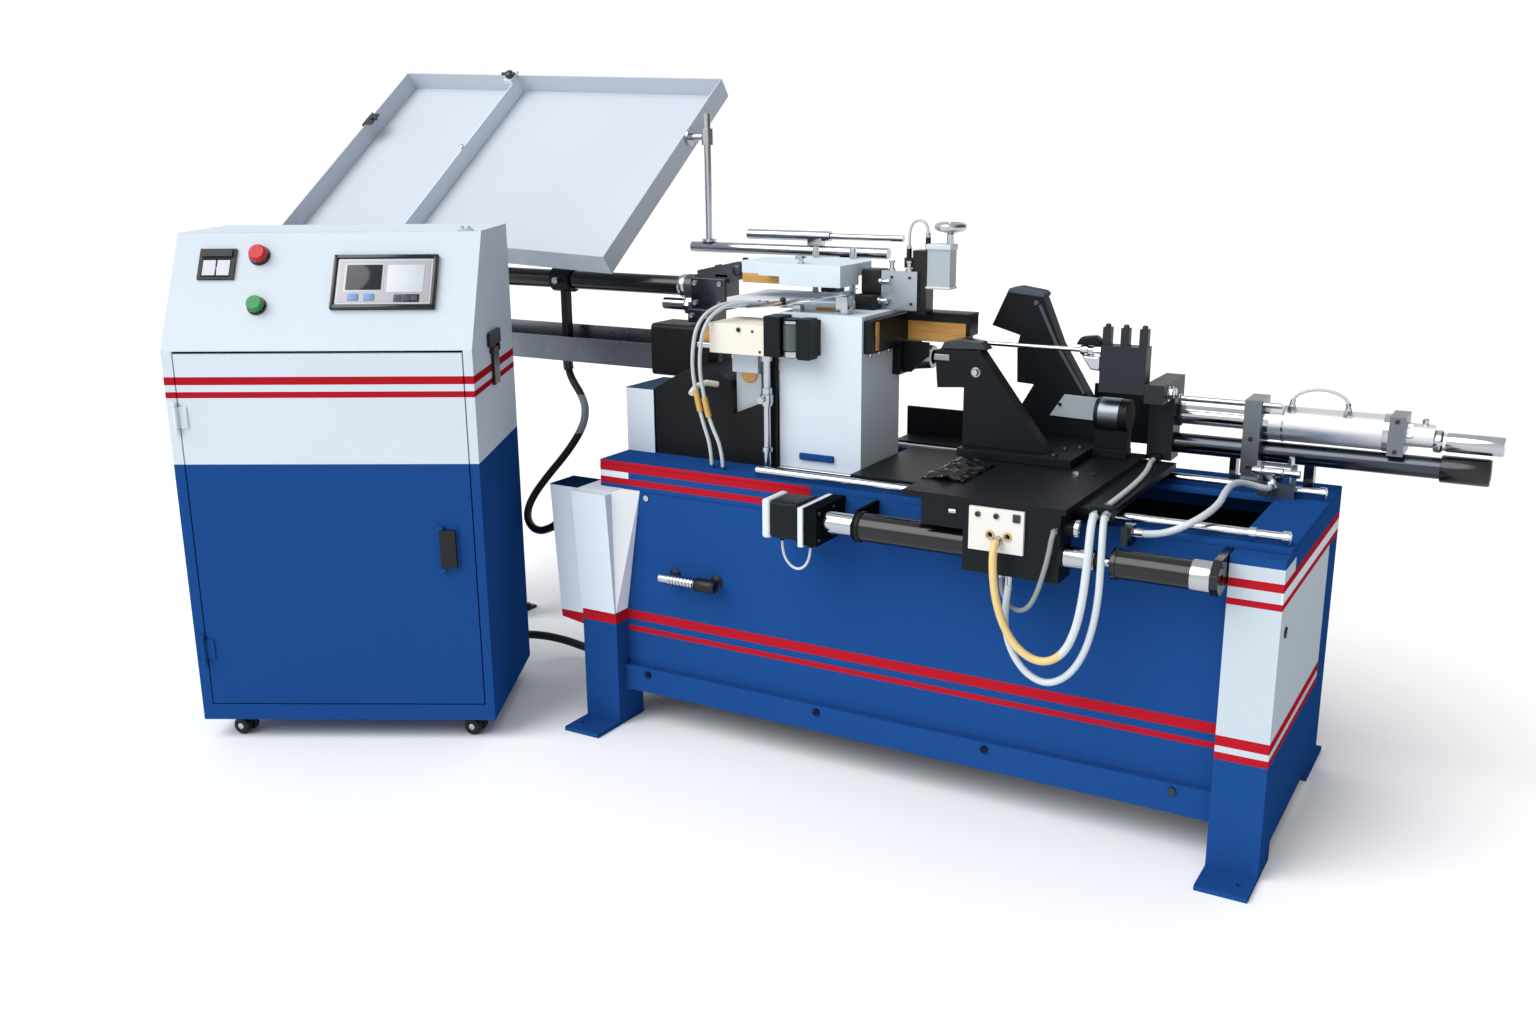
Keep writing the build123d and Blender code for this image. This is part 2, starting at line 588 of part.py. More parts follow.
def cabinet():
    place = Pos(*cabinet_corner, 0) * Rot(0, 0, cabinet_turn)
    w, d, t = cabinet_width, cabinet_depth, cover_sheet
    low, high = cabinet_bottom, cabinet_front_top
    wall_z = (low + t, high - t)
    floor_plate = block((0, w), (0, d), (low, low + t))
    for u, v in castor_front + castor_rear:
        floor_plate += block((u - 28, u + 28), (v - 28, v + 28), (low - castor_pad, low))
    for u, v in castor_front:
        floor_plate -= rod_z(u, v, (low - castor_pad, low + t), 5 + shaft_gap)
    body = [floor_plate, block((0, w), (0, d), (high - t, high))]
    body += [block(u, (0, d), wall_z) for u in ((0, t), (w - t, w))]
    body.append(block((t, w - t), (d - t, d), wall_z))
    body += [block(u, (0, 14), wall_z) for u in ((t, 24), (684, w - t))]
    body.append(block((24, 684), (0, 14), (low + t, 89)))
    node("cabinet_body", *[place * piece for piece in body])

    slope = (cabinet_top - high) / console_run
    lean = t * hypot(1, slope) / slope
    top_z = cabinet_top - t
    reach = (top_z - high) / slope
    face = Plane(origin=(0, 0, high), x_dir=(1, 0, 0), z_dir=(0, -slope, 1))

    def on_face(at, height):
        return face * Pos(at[0], at[1], height)

    panel = prism_x([(0, high), (lean, high), (reach + lean, top_z), (reach, top_z)], (0, w))
    for at in (stop_at, start_at):
        panel -= on_face(at, 0) * Cylinder(stem_radius + running_gap, 20)
    panel -= on_face(breaker_pivot, 0) * Box(*breaker_window, 20)
    shell = [panel, block((0, w), (reach, d), (top_z, cabinet_top))]
    shell.append(block((0, w), (d - t, d), (high, top_z)))
    for u in ((0, t), (w - t, w)):
        shell.append(prism_x([(lean, high), (d - t, high), (d - t, top_z), (reach + lean, top_z)], u))
    node("console_panel", *[place * piece for piece in shell])

    bezel = on_face(controller_at, 4) * Box(*controller_size, 8)
    frame = on_face(breaker_at, 3) * Box(84, 77, 6) + on_face(breaker_at, 8) * Pos(0, 26, 0) * Box(70, 18, 4)
    frame -= on_face(breaker_pivot, 3) * Box(*breaker_window, 6)
    lugs = block((w, w + 8), (150, 265), (924, 956))
    for v in ((172, 180), (238, 246)):
        lugs += block((w, w + 10), v, (906, 924)) - rod_y(strap_pin[0], v, strap_pin[1], 2.5 + shaft_gap)
    node("panel_fittings", *[place * piece for piece in (bezel, frame, lugs)])
    strap = block((w + 1, w + 8), (182, 236), (830, strap_pin[1]))
    strap += rod_y(strap_pin[0], (182, 236), strap_pin[1], 4)
    strap += rod_y(strap_pin[0], (173, 245), strap_pin[1], 2.5)
    node("side_latch", place * strap)

    rocker = rod_x((-31, 31), 0, 0, breaker_pin_radius)
    for u in (-16.5, 16.5):
        rocker += Pos(u, 0, 5) * Box(29, 38, 4)
    node("breaker_levers", place * on_face(breaker_pivot, 0) * rocker)
    buttons = (("stop", stop_at, stop_radius, 5), ("start", start_at, start_radius, 3))
    for name, at, radius, rounding in buttons:
        cap = Pos(0, 0, 15) * Cylinder(radius, 14)
        cap = fillet(cap.edges().group_by(Axis.Z)[-1], rounding) + Pos(0, 0, -2) * Cylinder(stem_radius, 20)
        node(name + "_button", place * on_face(at, 0) * cap)

    door = block(door_u, (0, t), door_z) + block(door_u, (t, 16), door_z)
    door -= block((door_u[0] + t, door_u[1] - t), (t, 16), (door_z[0] + t, door_z[1] - t))
    door += block((598, 646), (-2, 0), (424, 535))
    for z in ((425, latch_z[0] - 1), (latch_z[1] + 1, 534)):
        door += block((601, 613), (-12, -2), z)
    door += rod_z(*latch_pin, (425, 534), 2)
    pins = []
    for z in hinge_heights:
        barrel = (z - 25, z + 25)
        knuckle = rod_z(*hinge_pin, barrel, 5.5) + block((hinge_pin[0] + 1, 45), (-3.4, -0.4), barrel)
        knuckle += block((door_u[0], 45), (-0.4, 0), barrel)
        door += knuckle - rod_z(*hinge_pin, barrel, hinge_pin_radius + shaft_gap)
        pin = rod_z(*hinge_pin, (z - 36, z + 36), hinge_pin_radius)
        for lug in ((z - 36, z - 26), (z + 26, z + 36)):
            pin += rod_z(*hinge_pin, lug, 5.5) + block((10, hinge_pin[0]), (hinge_pin[1], 0), lug)
        pins.append(place * pin)
    node("cabinet_door", place * door)
    node("door_hinge_pins", *pins)
    paddle = block((604, 641), (-12, -4), latch_z) - rod_z(*latch_pin, latch_z, 2 + shaft_gap)
    node("door_latch", place * paddle)

    def fork(trail, stem_top):
        body = block((-5, 5), (trail - 15, trail + 15), (10, 45.5))
        crown = block((-20, 20), (-20, 20), (43, 45.5)) + rod_z(0, 0, (45.5, stem_top), 5)
        return body + crown + rod_x((-24, 24), trail, wheel_radius, axle_radius)

    def twin_wheels(trail):
        pair = []
        for side in (-1, 1):
            tread = rod_x(mirrored(wheel_sides, side), trail, wheel_radius, wheel_radius)
            bore = rod_x((-24, 24), trail, wheel_radius, axle_radius + shaft_gap)
            pair.append(fillet(tread.edges(), 5) - bore)
        return pair

    for side, (u, v) in zip(("left", "right"), castor_front):
        swivel = place * Pos(u, v, 0) * Rot(0, 0, castor_turn)
        node("castor_fork_" + side, swivel * fork(castor_trail, low + t))
        node("castor_wheel_" + side, *[swivel * half for half in twin_wheels(castor_trail)])
    fixed = [place * Pos(u, v, 0) for u, v in castor_rear]
    node("rear_castor_forks", *[spot * fork(0, low - castor_pad) for spot in fixed])
    node("rear_castor_wheels", *[spot * half for spot in fixed for half in twin_wheels(0)])


def hose(label, diameter, route):
    # a tube on straight runs joined by tangent arcs, each arc as large as its two runs allow
    points = [Vector(*point) for point in route]
    radii = []
    for before, here, after in zip(points, points[1:], points[2:]):
        turn = radians((here - before).get_angle(after - here))
        radii.append(0.45 * min((here - before).length, (after - here).length) / tan(turn / 2))
    path = FilletPolyline(*points, radius=radii)
    tube = sweep(Plane(origin=path @ 0, z_dir=path % 0) * Circle(diameter / 2), path=path)
    share = tube.volume / (pi * diameter ** 2 / 4 * path.length)
    rounded = [round(r) for r in radii]
    print(label, "length", round(path.length), "radii", rounded, "volume share", round(share, 4))
    return tube


def cords():
    y = screw_y
    conduit = hose("conduit", 20, [
        (-1124, 80, 826), (-1124, 80, 804), (-1114, 75, 782), (-1092, 64, 762), (-1056, 46, 738),
        (-1022, 20, 706),
        (-1009, -15, 664), (-1034, -50, 604), (-1088, -82, 532), (-1117, -110, 478), (-1106, -142, 444),
        (-1066, -172, 426), (-1012, -202, 430), (-962, -226, 450), (-932, -235, 466), (-908, -235, 466)])
    floor_cable = hose("floor cable", 22, [
        (-1166.9, -156, 90), (-1186.2, -121, 90), (-1188, -74, 80), (-1159, -28, 66), (-1106, -4, 54),
        (-1036, -6, 46), (-950, -28, 50), (-880, -54, 76), (-828, -72, 104), (-772, -72, 104)])
    twin_tubes = []
    for label, shift, foot in (("left air tube", 0, (-486, -206)), ("right air tube", 20, (-452, -212))):
        twin_tubes.append(hose(label, 9, [
            (-439 + shift, -60, 1023.5), (-439 + shift, -84, 1023.5), (-456 + shift, -114, 1030),
            (-486 + shift, -148, 1028), (-510 + shift, -182, 1010), (-520 + shift, -209, 978),
            (-527 + shift, -214, 930),
            (-530 + shift, -212, 880), (-524 + shift, -208, 828), (-510 + shift, -206, 766),
            (*foot, 702), (*foot, bed_top_z)]))
    loop = hose("air loop", 7, [
        (-112, 48, 1150), (-112, 48, 1174), (-110, 48, 1197), (-98, 48, 1213), (-79, 48, 1213),
        (-66, 48, 1197),
        (-66, 48, 1176)])
    arc_y = barrel_port_y
    arc = hose("barrel tube", 7, [
        (711, arc_y, port_top), (711, arc_y, 860), (731, arc_y, 876), (766, arc_y, 883), (801, arc_y, 876),
        (821, arc_y, 860), (821, arc_y, port_top)])
    tail_hose = hose("tail hose", 14, [
        (520, -275, 655), (548, -275, 655), (590, -290, 668), (630, -280, 690), (652, -236, 704),
        (656, -176, 709),
        (648, -106, 710), (642, -36, 709), (646, 24, 705), (662, 62, 694), (688, 88, 682),
        (695, 106, 680), (695, 122, 680)])
    motor_cable = hose("motor cable", 6, [
        (-219, y, screw_z - motor_half), (-219, y, 541), (-212, y, 515), (-196, y, 498), (-177, y, 494),
        (-159, y, 507),
        (-149, y, 534), (-149, y, 560)])
    node("machine_cables", conduit, floor_cable, *twin_tubes, loop, arc, tail_hose, motor_cable)

    plate = apron_y[0] - 8
    cream = hose("cream hose", 16, [
        (290, plate, 636), (290, plate - 14, 636), (290, plate - 24, 628), (291, plate - 29, 612),
        (292, plate - 31, 586),
        (297, plate - 30, 538),
        (310, plate - 26, 486), (334, plate - 24, 442), (370, plate - 22, 414), (408, plate - 20, 412),
        (440, plate - 18, 440), (458, plate - 16, 490), (466, plate - 12, 546), (468, plate - 4, 600),
        (467, plate + 8, 650),
        (464, plate + 24, 684), (462, plate + 42, 698), (462, hose_block_y, 698)])
    white = hose("white hose", 14, [
        (306, -366, apron_bottom), (306, -366, 540), (306, -376, 514), (308, -386, 478),
        (316, -392, 440), (336, -395, 402),
        (364, -396, 374),
        (402, -396, 362), (442, -395, 384), (470, -392, 430), (486, -390, 490), (493, -389, 552),
        (494, -388, 612),
        (491, -378, 656), (486, -360, 688), (483, -344, 700), (483, hose_block_y, 700)])
    grey = hose("grey hose", 10, [
        (284, -350, apron_bottom), (284, -350, 539), (289, -352, 516), (304, -357, 498), (325, -368, 492),
        (346, -379, 500), (363, -388, 520), (377, -395, 552), (389, -399, 594), (397, -401, 630),
        (400, -401, 654),
        (402, -396, 668), (402, -387, 672), (402, apron_y[0], 672)])
    edge_hose = hose("edge hose", 11, [
        (471, saddle_y[0], 706), (471, -230, 706), (468, -90, 706), (456, 40, 706), (440, 116, 706),
        (440, 146, 706)])
    node("carriage_hoses", cream, white, grey, edge_hose)


bed()
screw_drive()
carriage()
cross_slide()
headstock()
tail()
feeder()
cabinet()
cords()

os.makedirs("parts", exist_ok=True)
for name, shape in nodes.items():
    export_step(shape, "parts/" + name + ".step")
print(len(nodes), "nodes")
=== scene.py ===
import math
from functools import partialmethod

import bpy
import numpy as np
from mathutils import Matrix, Vector


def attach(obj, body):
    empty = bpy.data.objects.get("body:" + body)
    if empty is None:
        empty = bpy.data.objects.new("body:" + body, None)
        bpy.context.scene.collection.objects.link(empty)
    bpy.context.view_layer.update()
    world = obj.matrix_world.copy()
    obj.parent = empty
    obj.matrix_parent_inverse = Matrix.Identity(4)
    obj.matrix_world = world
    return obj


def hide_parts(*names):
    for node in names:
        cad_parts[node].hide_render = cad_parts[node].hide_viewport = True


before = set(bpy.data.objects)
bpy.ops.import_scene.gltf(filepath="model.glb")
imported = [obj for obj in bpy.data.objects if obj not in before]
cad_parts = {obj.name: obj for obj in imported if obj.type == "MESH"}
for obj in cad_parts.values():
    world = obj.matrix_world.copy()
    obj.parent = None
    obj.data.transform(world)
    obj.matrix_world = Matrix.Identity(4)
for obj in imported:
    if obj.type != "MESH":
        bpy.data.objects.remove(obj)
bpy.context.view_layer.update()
print("frame loaded:", len(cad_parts), "nodes")


def tone(red, green, blue):  # screen colour 0 to 255, as the light value that a shader wants
    shown = np.array([red, green, blue]) / 255
    light = np.where(shown <= 0.04045, shown / 12.92, ((shown + 0.055) / 1.055) ** 2.4)
    return (*light.tolist(), 1.0)


# the paints and bare materials of the machine, as screen colours
blue, white, red, black = tone(30, 73, 136), tone(212, 223, 233), tone(172, 28, 41), tone(18, 22, 26)
# the last colour on the next line is the white paint made darker, as painted shade for the right leg and the right
# end
grey, paleGrey, slate, paintedShadeWhite = tone(84, 92, 100), tone(178, 186, 194), tone(60, 78, 104), tone(188, 200, 210)
steel, chrome, alloy, smoke = tone(150, 155, 162), tone(196, 200, 205), tone(128, 134, 141), tone(120, 132, 140)
cream, creamHose, whiteHose, rubber = tone(229, 224, 212), tone(224, 196, 132), tone(200, 209, 215), tone(15, 16, 18)
timber, timberDark, timberPale = tone(186, 140, 76), tone(146, 98, 44), tone(206, 166, 102)


class Wire:  # one socket; a sum or product of wires adds its Math nodes
    def __init__(self, tree, socket):
        self.tree, self.socket = tree, socket

    def maths(self, operation, other):
        return self.tree.node("ShaderNodeMath", {"operation": operation}, {0: self, 1: other})

    __add__ = __radd__ = partialmethod(maths, "ADD")
    __sub__ = partialmethod(maths, "SUBTRACT")
    __mul__ = __rmul__ = partialmethod(maths, "MULTIPLY")
    __gt__ = partialmethod(maths, "GREATER_THAN")
    __lt__ = partialmethod(maths, "LESS_THAN")


class Tree:  # a node tree, to which node() adds a node
    def __init__(self, tree):
        self.tree = tree

    def node(self, kind, settings=None, sockets=None, out=0):
        made = self.tree.nodes.new(kind)
        for key, value in (settings or {}).items():
            if key == "stops":  # a ramp's places and colours
                while len(made.color_ramp.elements) < len(value):
                    made.color_ramp.elements.new(0.5)
                for element, (place, colour) in zip(made.color_ramp.elements, value):
                    element.position, element.color = place, colour
            else:
                setattr(made, key, value)
        self.fill(made, sockets or {})
        return Wire(self, made.outputs[out]) if len(made.outputs) else None

    def fill(self, made, sockets):  # a wire is linked to its socket, any other value is set there
        for key, value in sockets.items():
            if isinstance(value, Wire):
                self.tree.links.new(value.socket, made.inputs[key])
            else:
                made.inputs[key].default_value = value


class Finish(Tree):  # one material, with the record's slot that it belongs to
    def __init__(self, name, slot=None, **fixed):
        self.slot = slot
        self.material = bpy.data.materials.new(name)
        self.material.use_nodes = True
        super().__init__(self.material.node_tree)
        self.tree.nodes.clear()
        self.shader = self.tree.nodes.new("ShaderNodeBsdfPrincipled")
        self.node("ShaderNodeOutputMaterial", None, {"Surface": Wire(self, self.shader.outputs[0])})
        self.where = self.node("ShaderNodeTexCoord", out="Object")
        self.put(fixed)

    def put(self, values):  # sockets of the main shader, named with _ for a space
        self.fill(self.shader, {key.replace("_", " "): value for key, value in values.items()})
        return self

    def axis(self, letter):
        return self.node("ShaderNodeSeparateXYZ", None, {0: self.where}, out="XYZ".index(letter))

    def noise(self, scale, detail=3.0, stretch=(1, 1, 1)):
        place = self.where
        if stretch != (1, 1, 1):
            place = self.node("ShaderNodeMapping", None, {"Vector": place, "Scale": stretch})
        return self.node("ShaderNodeTexNoise", None, {"Vector": place, "Scale": scale, "Detail": detail})

    def mix(self, share, first, second):
        return self.node("ShaderNodeMix", {"data_type": "RGBA"}, {0: share, 6: first, 7: second}, out=2)

    def bump(self, height, strength, distance=0.001):
        sockets = {"Height": height, "Strength": strength, "Distance": distance}
        return self.node("ShaderNodeBump", None, sockets)

    def banded(self, base, bands):  # flat colours laid over a base, each between limits along some axes
        for colour, limits in bands:
            mask = None
            for letter, (low, high) in limits.items():
                along = self.axis(letter)
                inside = (along > low) * (along < high)
                mask = inside if mask is None else mask * inside
            base = self.mix(mask, base, colour)
        return base


def dimmed(colour, share):
    return tuple(c * share for c in colour[:3]) + (1,)


def paintFinish(name, slot, ground, bands=(), rough=0.4, peel=0.12, shine=0.0):
    # sprayed paint: orange peel from fine noise, slow changes of shade, and flat bands laid over it
    made = Finish(name, slot, Specular_IOR_Level=shine)
    base = made.mix(made.noise(3.1, 4.0), dimmed(ground, 0.93), ground)
    scuff = made.noise(38.0, 5.0)
    grain = made.noise(900.0, 2.0)
    return made.put({"Base_Color": made.banded(base, bands), "Roughness": rough + 0.14 * (scuff - 0.5),
                     "Normal": made.bump(grain, peel, 0.0004)})


def metalFinish(name, slot, colour, rough, streak=(1, 1, 1), depth=0.08, bands=()):
    # bare metal: streaks of the tool along one axis change the gloss and lift the surface a little
    made = Finish(name, slot, Metallic=1.0)
    lines = made.noise(420.0, 3.0, streak)
    cloud = made.noise(9.0, 4.0)
    base = made.mix(cloud, dimmed(colour, 0.8), colour)
    return made.put({"Base_Color": made.banded(base, bands),
                     "Roughness": rough + 0.16 * (lines - 0.5) + 0.08 * (cloud - 0.5),
                     "Normal": made.bump(lines, depth, 0.0002)})


def plasticFinish(name, slot, colour, rough=0.4, grain=0.1, size=1400.0, bands=(), coat=0.0):
    # moulded plastic: spark-eroded grain and a faint change of gloss where it is handled
    made = Finish(name, slot, Specular_IOR_Level=0.35, Coat_Weight=coat)
    pits = made.noise(size, 2.0)
    handled = made.noise(22.0, 3.0)
    base = made.mix(handled, dimmed(colour, 0.9), colour)
    return made.put({"Base_Color": made.banded(base, bands), "Roughness": rough + 0.12 * (handled - 0.5),
                     "Normal": made.bump(pits, grain, 0.0003)})


def timberFinish(name, slot):
    # planed timber: long grain along X, waved by slow noise, with pores
    made = Finish(name, slot, Specular_IOR_Level=0.25)
    wave = made.noise(14.0, 3.0, (0.3, 1, 1))
    grain = made.noise(60.0, 5.0, (0.06, 1, 1))
    pores = made.noise(700.0, 2.0, (0.05, 1, 1))
    stops = [(0.3, timberDark), (0.5, timber), (0.72, timberPale)]
    mixed = made.node("ShaderNodeValToRGB", {"stops": stops}, {0: 0.65 * grain + 0.35 * wave})
    return made.put({"Base_Color": mixed, "Roughness": 0.5 + 0.2 * (grain - 0.5),
                     "Normal": made.bump(pores, 0.25, 0.0004)})


# areas of the bed, in metres; far is past the end of the part
far = 9.0
frontFace = {"Y": (-far, -0.2535)}
frontLeft = {"X": (-far, -0.2), **frontFace}
frontLeftLeg = {"X": (-far, -0.7065), "Y": (-far, -0.198)}
frontRightLeg = {"X": (0.7065, far), "Y": (-far, -0.198)}
rightEnd = {"X": (0.8045, far), "Y": (-far, 0.201)}
rightFace = {"X": (0.8045, far)}


def stripes(colour, area, *heights):  # one colour between each pair of heights on an area
    return [(colour, {"Z": span, **area}) for span in heights]


bedBands = [
    # the right leg's front and the right end take the darker white, which is painted shade
    *stripes(paintedShadeWhite, frontRightLeg, (0.252, 0.629)),
    *stripes(red, frontRightLeg, (0.585, 0.602), (0.550, 0.563), (0.265, 0.286), (0.237, 0.252)),
    *stripes(paintedShadeWhite, rightEnd, (0.237, 0.602)), *stripes(white, rightFace, (0.563, 0.585)),
    *stripes(red, rightFace, (0.585, 0.602), (0.550, 0.563)), *stripes(red, rightEnd, (0.265, 0.286), (0.237, 0.252)),
    *stripes(white, frontLeftLeg, (0.291, 0.5905)), *stripes(red, frontLeftLeg, (0.262, 0.291)),
    *stripes(red, frontLeft, (0.631, 0.6555), (0.600, 0.6155)),
    *stripes(white, {**frontFace, "X": (-far, -0.69)}, (0.6155, 0.6305)),
]
panelBands = [*stripes(red, {}, (0.265, 0.288), (0.235, 0.248)), (black, {"Y": (-0.2494, 0.2494)})]
endBands = [*bedBands, (black, {"X": (-0.7693, 0.8053)})]
cabinetBands = [*stripes(blue, {}, (-far, 0.680)), *stripes(red, {}, (0.864, 0.882), (0.834, 0.848))]
coverBands = [(red, {"Z": (-far, 0.273), "X": (-far, -0.8)}), (slate, {"Z": (0.8105, far)}),
              (tone(14, 34, 66), {"Z": (0.5885, 0.62), "X": (-far, -0.8085)}),
              # the palest band, on the gusset's face between x -0.708 and -0.655, brightens that shaded face as
              # painted light
              (tone(246, 251, 255), {"Z": (-far, 0.595), "X": (-0.7079, -0.655)})]
bracketBands = [(black, {"X": (-0.1428, far)})]
valveBands = [(paleGrey, {"Z": (-far, 0.869)}), (white, {"Z": (0.869, 0.9205)})]
plateBands = [(paleGrey, {"Z": (1.0, far)})]
smokedBands = [(tone(166, 176, 183), {"X": (-0.0595, far)})]
feedBands = [(tone(54, 59, 64), {"X": (-0.727, far)})]
boltBands = [(tone(30, 40, 58), {"Z": (-far, 0.2)}), (tone(70, 74, 80), {"X": (0.4, far)})]
conduitBands = [(smoke, {"Z": (0.652, 0.74)})]
hoseBands = [(whiteHose, {"X": (0.43, far)})]

# slot, colour, bands, roughness, depth of the orange peel, shine
paints = {
    "bedPaint": ("blue_paint", blue, bedBands),
    "panelPaint": ("blue_paint", blue, panelBands),
    "endPaint": ("blue_paint", blue, endBands),
    "bluePaint": ("blue_paint", blue),
    "cabinetPaint": ("white_paint", white, cabinetBands, 0.36),
    "coverPaint": ("white_paint", white, coverBands, 0.38),
    "whitePaint": ("white_paint", white, (), 0.36),
    # the tray's paint is the white made darker, as painted shade on its broad upward face
    "trayPaintedShade": ("white_paint", tone(198, 205, 215), (), 0.38),
    "bracketPaint": ("white_paint", white, bracketBands, 0.36),
    "creamPaint": ("cream_box", cream, (), 0.42),
    "platePaint": ("cream_box", tone(222, 222, 218), (), 0.42),
    "valvePaint": ("cream_box", cream, valveBands, 0.42),
    "blackPaint": ("black_metal", black, (), 0.42, 0.2, 0.16),
    "tailPaint": ("black_metal", tone(40, 47, 53), (), 0.42, 0.15, 0.2),
    "glossBlack": ("black_metal", tone(10, 12, 15), (), 0.18, 0.05, 0.5),
    "feedPaint": ("black_metal", tone(12, 14, 16), feedBands, 0.2, 0.05, 0.5),
    "blackCast": ("black_cast", tone(11, 14, 16), (), 0.5, 0.5, 0.25),
    "greyPaint": ("alloy", grey, (), 0.4),
    "palePaint": ("alloy", paleGrey, (), 0.4),
}
# slot, colour, roughness, stretch of the tool marks, their depth, bands
metals = {
    "chromeAlongX": ("bright", chrome, 0.14, (0.03, 1, 1)),
    "chromeUpright": ("bright", chrome, 0.15, (1, 1, 0.03)),
    "chrome": ("bright", chrome, 0.16),
    "groundSteel": ("steel", steel, 0.28, (1, 0.05, 1)),
    "darkSteel": ("steel", tone(72, 76, 82), 0.34),
    "darkChrome": ("black_metal", tone(74, 79, 86), 0.2, (0.03, 1, 1)),
    "barrelSteel": ("bright", tone(240, 243, 246), 0.42, (0.03, 1, 1)),
    "hardwareSteel": ("steel", chrome, 0.2, (0.05, 1, 1), 0.06, boltBands),
    "satinAlloy": ("alloy", alloy, 0.36, (0.1, 1, 1), 0.08, plateBands),
}
# slot, colour, roughness, depth and size of the grain, bands, coat
plastics = {
    "blackPlastic": ("black_plastic", tone(14, 15, 17), 0.42),
    "airPlastic": ("black_plastic", tone(14, 15, 17), 0.34, 0.05, 1400.0, smokedBands),
    "redPlastic": ("red_plastic", tone(196, 16, 28), 0.28, 0.03),
    "greenPlastic": ("green_plastic", tone(30, 138, 66), 0.28, 0.03),
    "palePlastic": ("white_plastic", tone(206, 213, 220), 0.36, 0.05),
    "panelPlastic": ("white_plastic", tone(186, 182, 190), 0.34, 0.04),
    "keyPlastic": ("white_plastic", tone(112, 150, 204), 0.36, 0.04),
    "rubber": ("black_rubber", rubber, 0.6, 0.2, 500.0),
    "conduitRubber": ("black_rubber", rubber, 0.5, 0.2, 500.0, conduitBands),
    "darkGlass": ("black_plastic", tone(36, 40, 46), 0.12, 0.0),
    "smokeGlass": ("black_plastic", tone(70, 80, 86), 0.08, 0.0, 900.0, (), 0.5),
    "creamHose": ("hose", creamHose, 0.32, 0.04, 300.0, hoseBands),
    "whiteHose": ("hose", whiteHose, 0.3, 0.04, 300.0),
    "greyHose": ("hose", tone(138, 147, 152), 0.34, 0.05, 300.0),
    "clearTube": ("hose", tone(192, 199, 203), 0.2, 0.03, 300.0),
    "amber": ("hose", tone(206, 168, 96), 0.26, 0.03, 300.0),
}
finishes = {made.material.name: made for made in (
    *[paintFinish(name, *spec) for name, spec in paints.items()],
    *[metalFinish(name, *spec) for name, spec in metals.items()],
    timberFinish("planedTimber", "timber"),
    *[plasticFinish(name, *spec) for name, spec in plastics.items()],
)}
print("finishes:", len(finishes))

# solids that stay in view, under their finish, each with the rounding of its edges in mm
kept = {
    "bedPaint": {"bed_frame": 2.0, "bed_top": 1.5}, "panelPaint": {"side_panels": 0.8},
    "endPaint": {"end_panels": 0.8}, "coverPaint": {"white_covers": 0.6}, "bracketPaint": {"motor_bracket": 1.0},
    "platePaint": {"manifold_plate": 1.0}, "valvePaint": {"valve_box": 1.0}, "trayPaintedShade": {"blank_tray": 0.8},
    "whitePaint": {"belt_cover": 0.8, "upper_jaw": 2.0, "tray_fence": 0.6},
    "cabinetPaint": {"cabinet_body": 0.6, "console_panel": 0.6, "cabinet_door": 0.6, "door_hinge_pins": 0.4},
    "blackPaint": {"way_cover": 1.2, "carriage_table": 1.5, "carriage_apron": 2.0, "cross_slide": 1.5,
                   "tool_posts": 1.5, "side_actuator": 1.5, "nose_housing": 2.0, "spindle_motor": 1.5,
                   "pusher": 1.2, "feeder_stand": 1.2},
    "glossBlack": {"screw_covers": 1.0}, "feedPaint": {"feed_tube": 1.2}, "blackCast": {"headstock_casting": 4.0},
    "tailPaint": {"tail_block": 1.5}, "planedTimber": {"guide_block": 1.5}, "satinAlloy": {"alloy_brackets": 1.5},
    "chromeAlongX": {"guide_rails": 0.8, "ball_screw": 0.5, "tail_rods": 0.6, "support_rods": 0.8},
    "darkChrome": {"guide_tube": 1.0}, "barrelSteel": {"tail_barrel": 1.0}, "hardwareSteel": {"bed_hardware": 0.8},
    "groundSteel": {"spindle": 0.8, "motor_pulley": 0.8, "feed_channel": 0.6}, "airPlastic": {"air_unit": 1.0},
    "rubber": {"drive_belt": 0.5, "castor_wheel_left": 0.4, "castor_wheel_right": 0.4, "rear_castor_wheels": 0.4},
    "blackPlastic": {"panel_fittings": 0.8, "side_latch": 0.6, "door_latch": 0.6, "castor_fork_left": 0.4,
                     "castor_fork_right": 0.4, "rear_castor_forks": 0.4},
    "palePlastic": {"breaker_levers": 0.6}, "redPlastic": {"stop_button": 0.6}, "greenPlastic": {"start_button": 0.6},
}
# joining distance in mm; degrees up to which an edge is flat, and from which it is rounded and splits the shading;
# weight of the large faces in the normals
edges = {"join": 0.01, "flat": 0.5, "round": 35, "split": 40, "weight": 100}


def bevelled(made, width):
    edge = made.modifiers.new("edge", "BEVEL")
    edge.width, edge.segments = width / 1000, 2
    edge.limit_method, edge.angle_limit = "ANGLE", math.radians(edges["round"])
    return edge


def dressSolid(node, finishName, rounding):
    # joins the loose triangles, clears the flat edges, then rounds the sharp ones
    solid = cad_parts[node]
    solid.data.materials.clear()
    solid.data.materials.append(finishes[finishName].material)
    weld = solid.modifiers.new("join", "WELD")
    weld.merge_threshold = edges["join"] / 1000
    flat = solid.modifiers.new("flat", "DECIMATE")
    flat.decimate_type = "DISSOLVE"
    flat.angle_limit = math.radians(edges["flat"])
    bevelled(solid, rounding).miter_outer = "MITER_ARC"
    split = solid.modifiers.new("split", "EDGE_SPLIT")
    split.split_angle = math.radians(edges["split"])
    split.use_edge_sharp = False
    normals = solid.modifiers.new("normals", "WEIGHTED_NORMAL")
    normals.weight = edges["weight"]


for finishName, solids in kept.items():
    for node, rounding in solids.items():
        dressSolid(node, finishName, rounding)
print("solids dressed:", sum(map(len, kept.values())))

alongX, toFront, upright, downward = (1, 0, 0), (0, -1, 0), (0, 0, 1), (0, 0, -1)


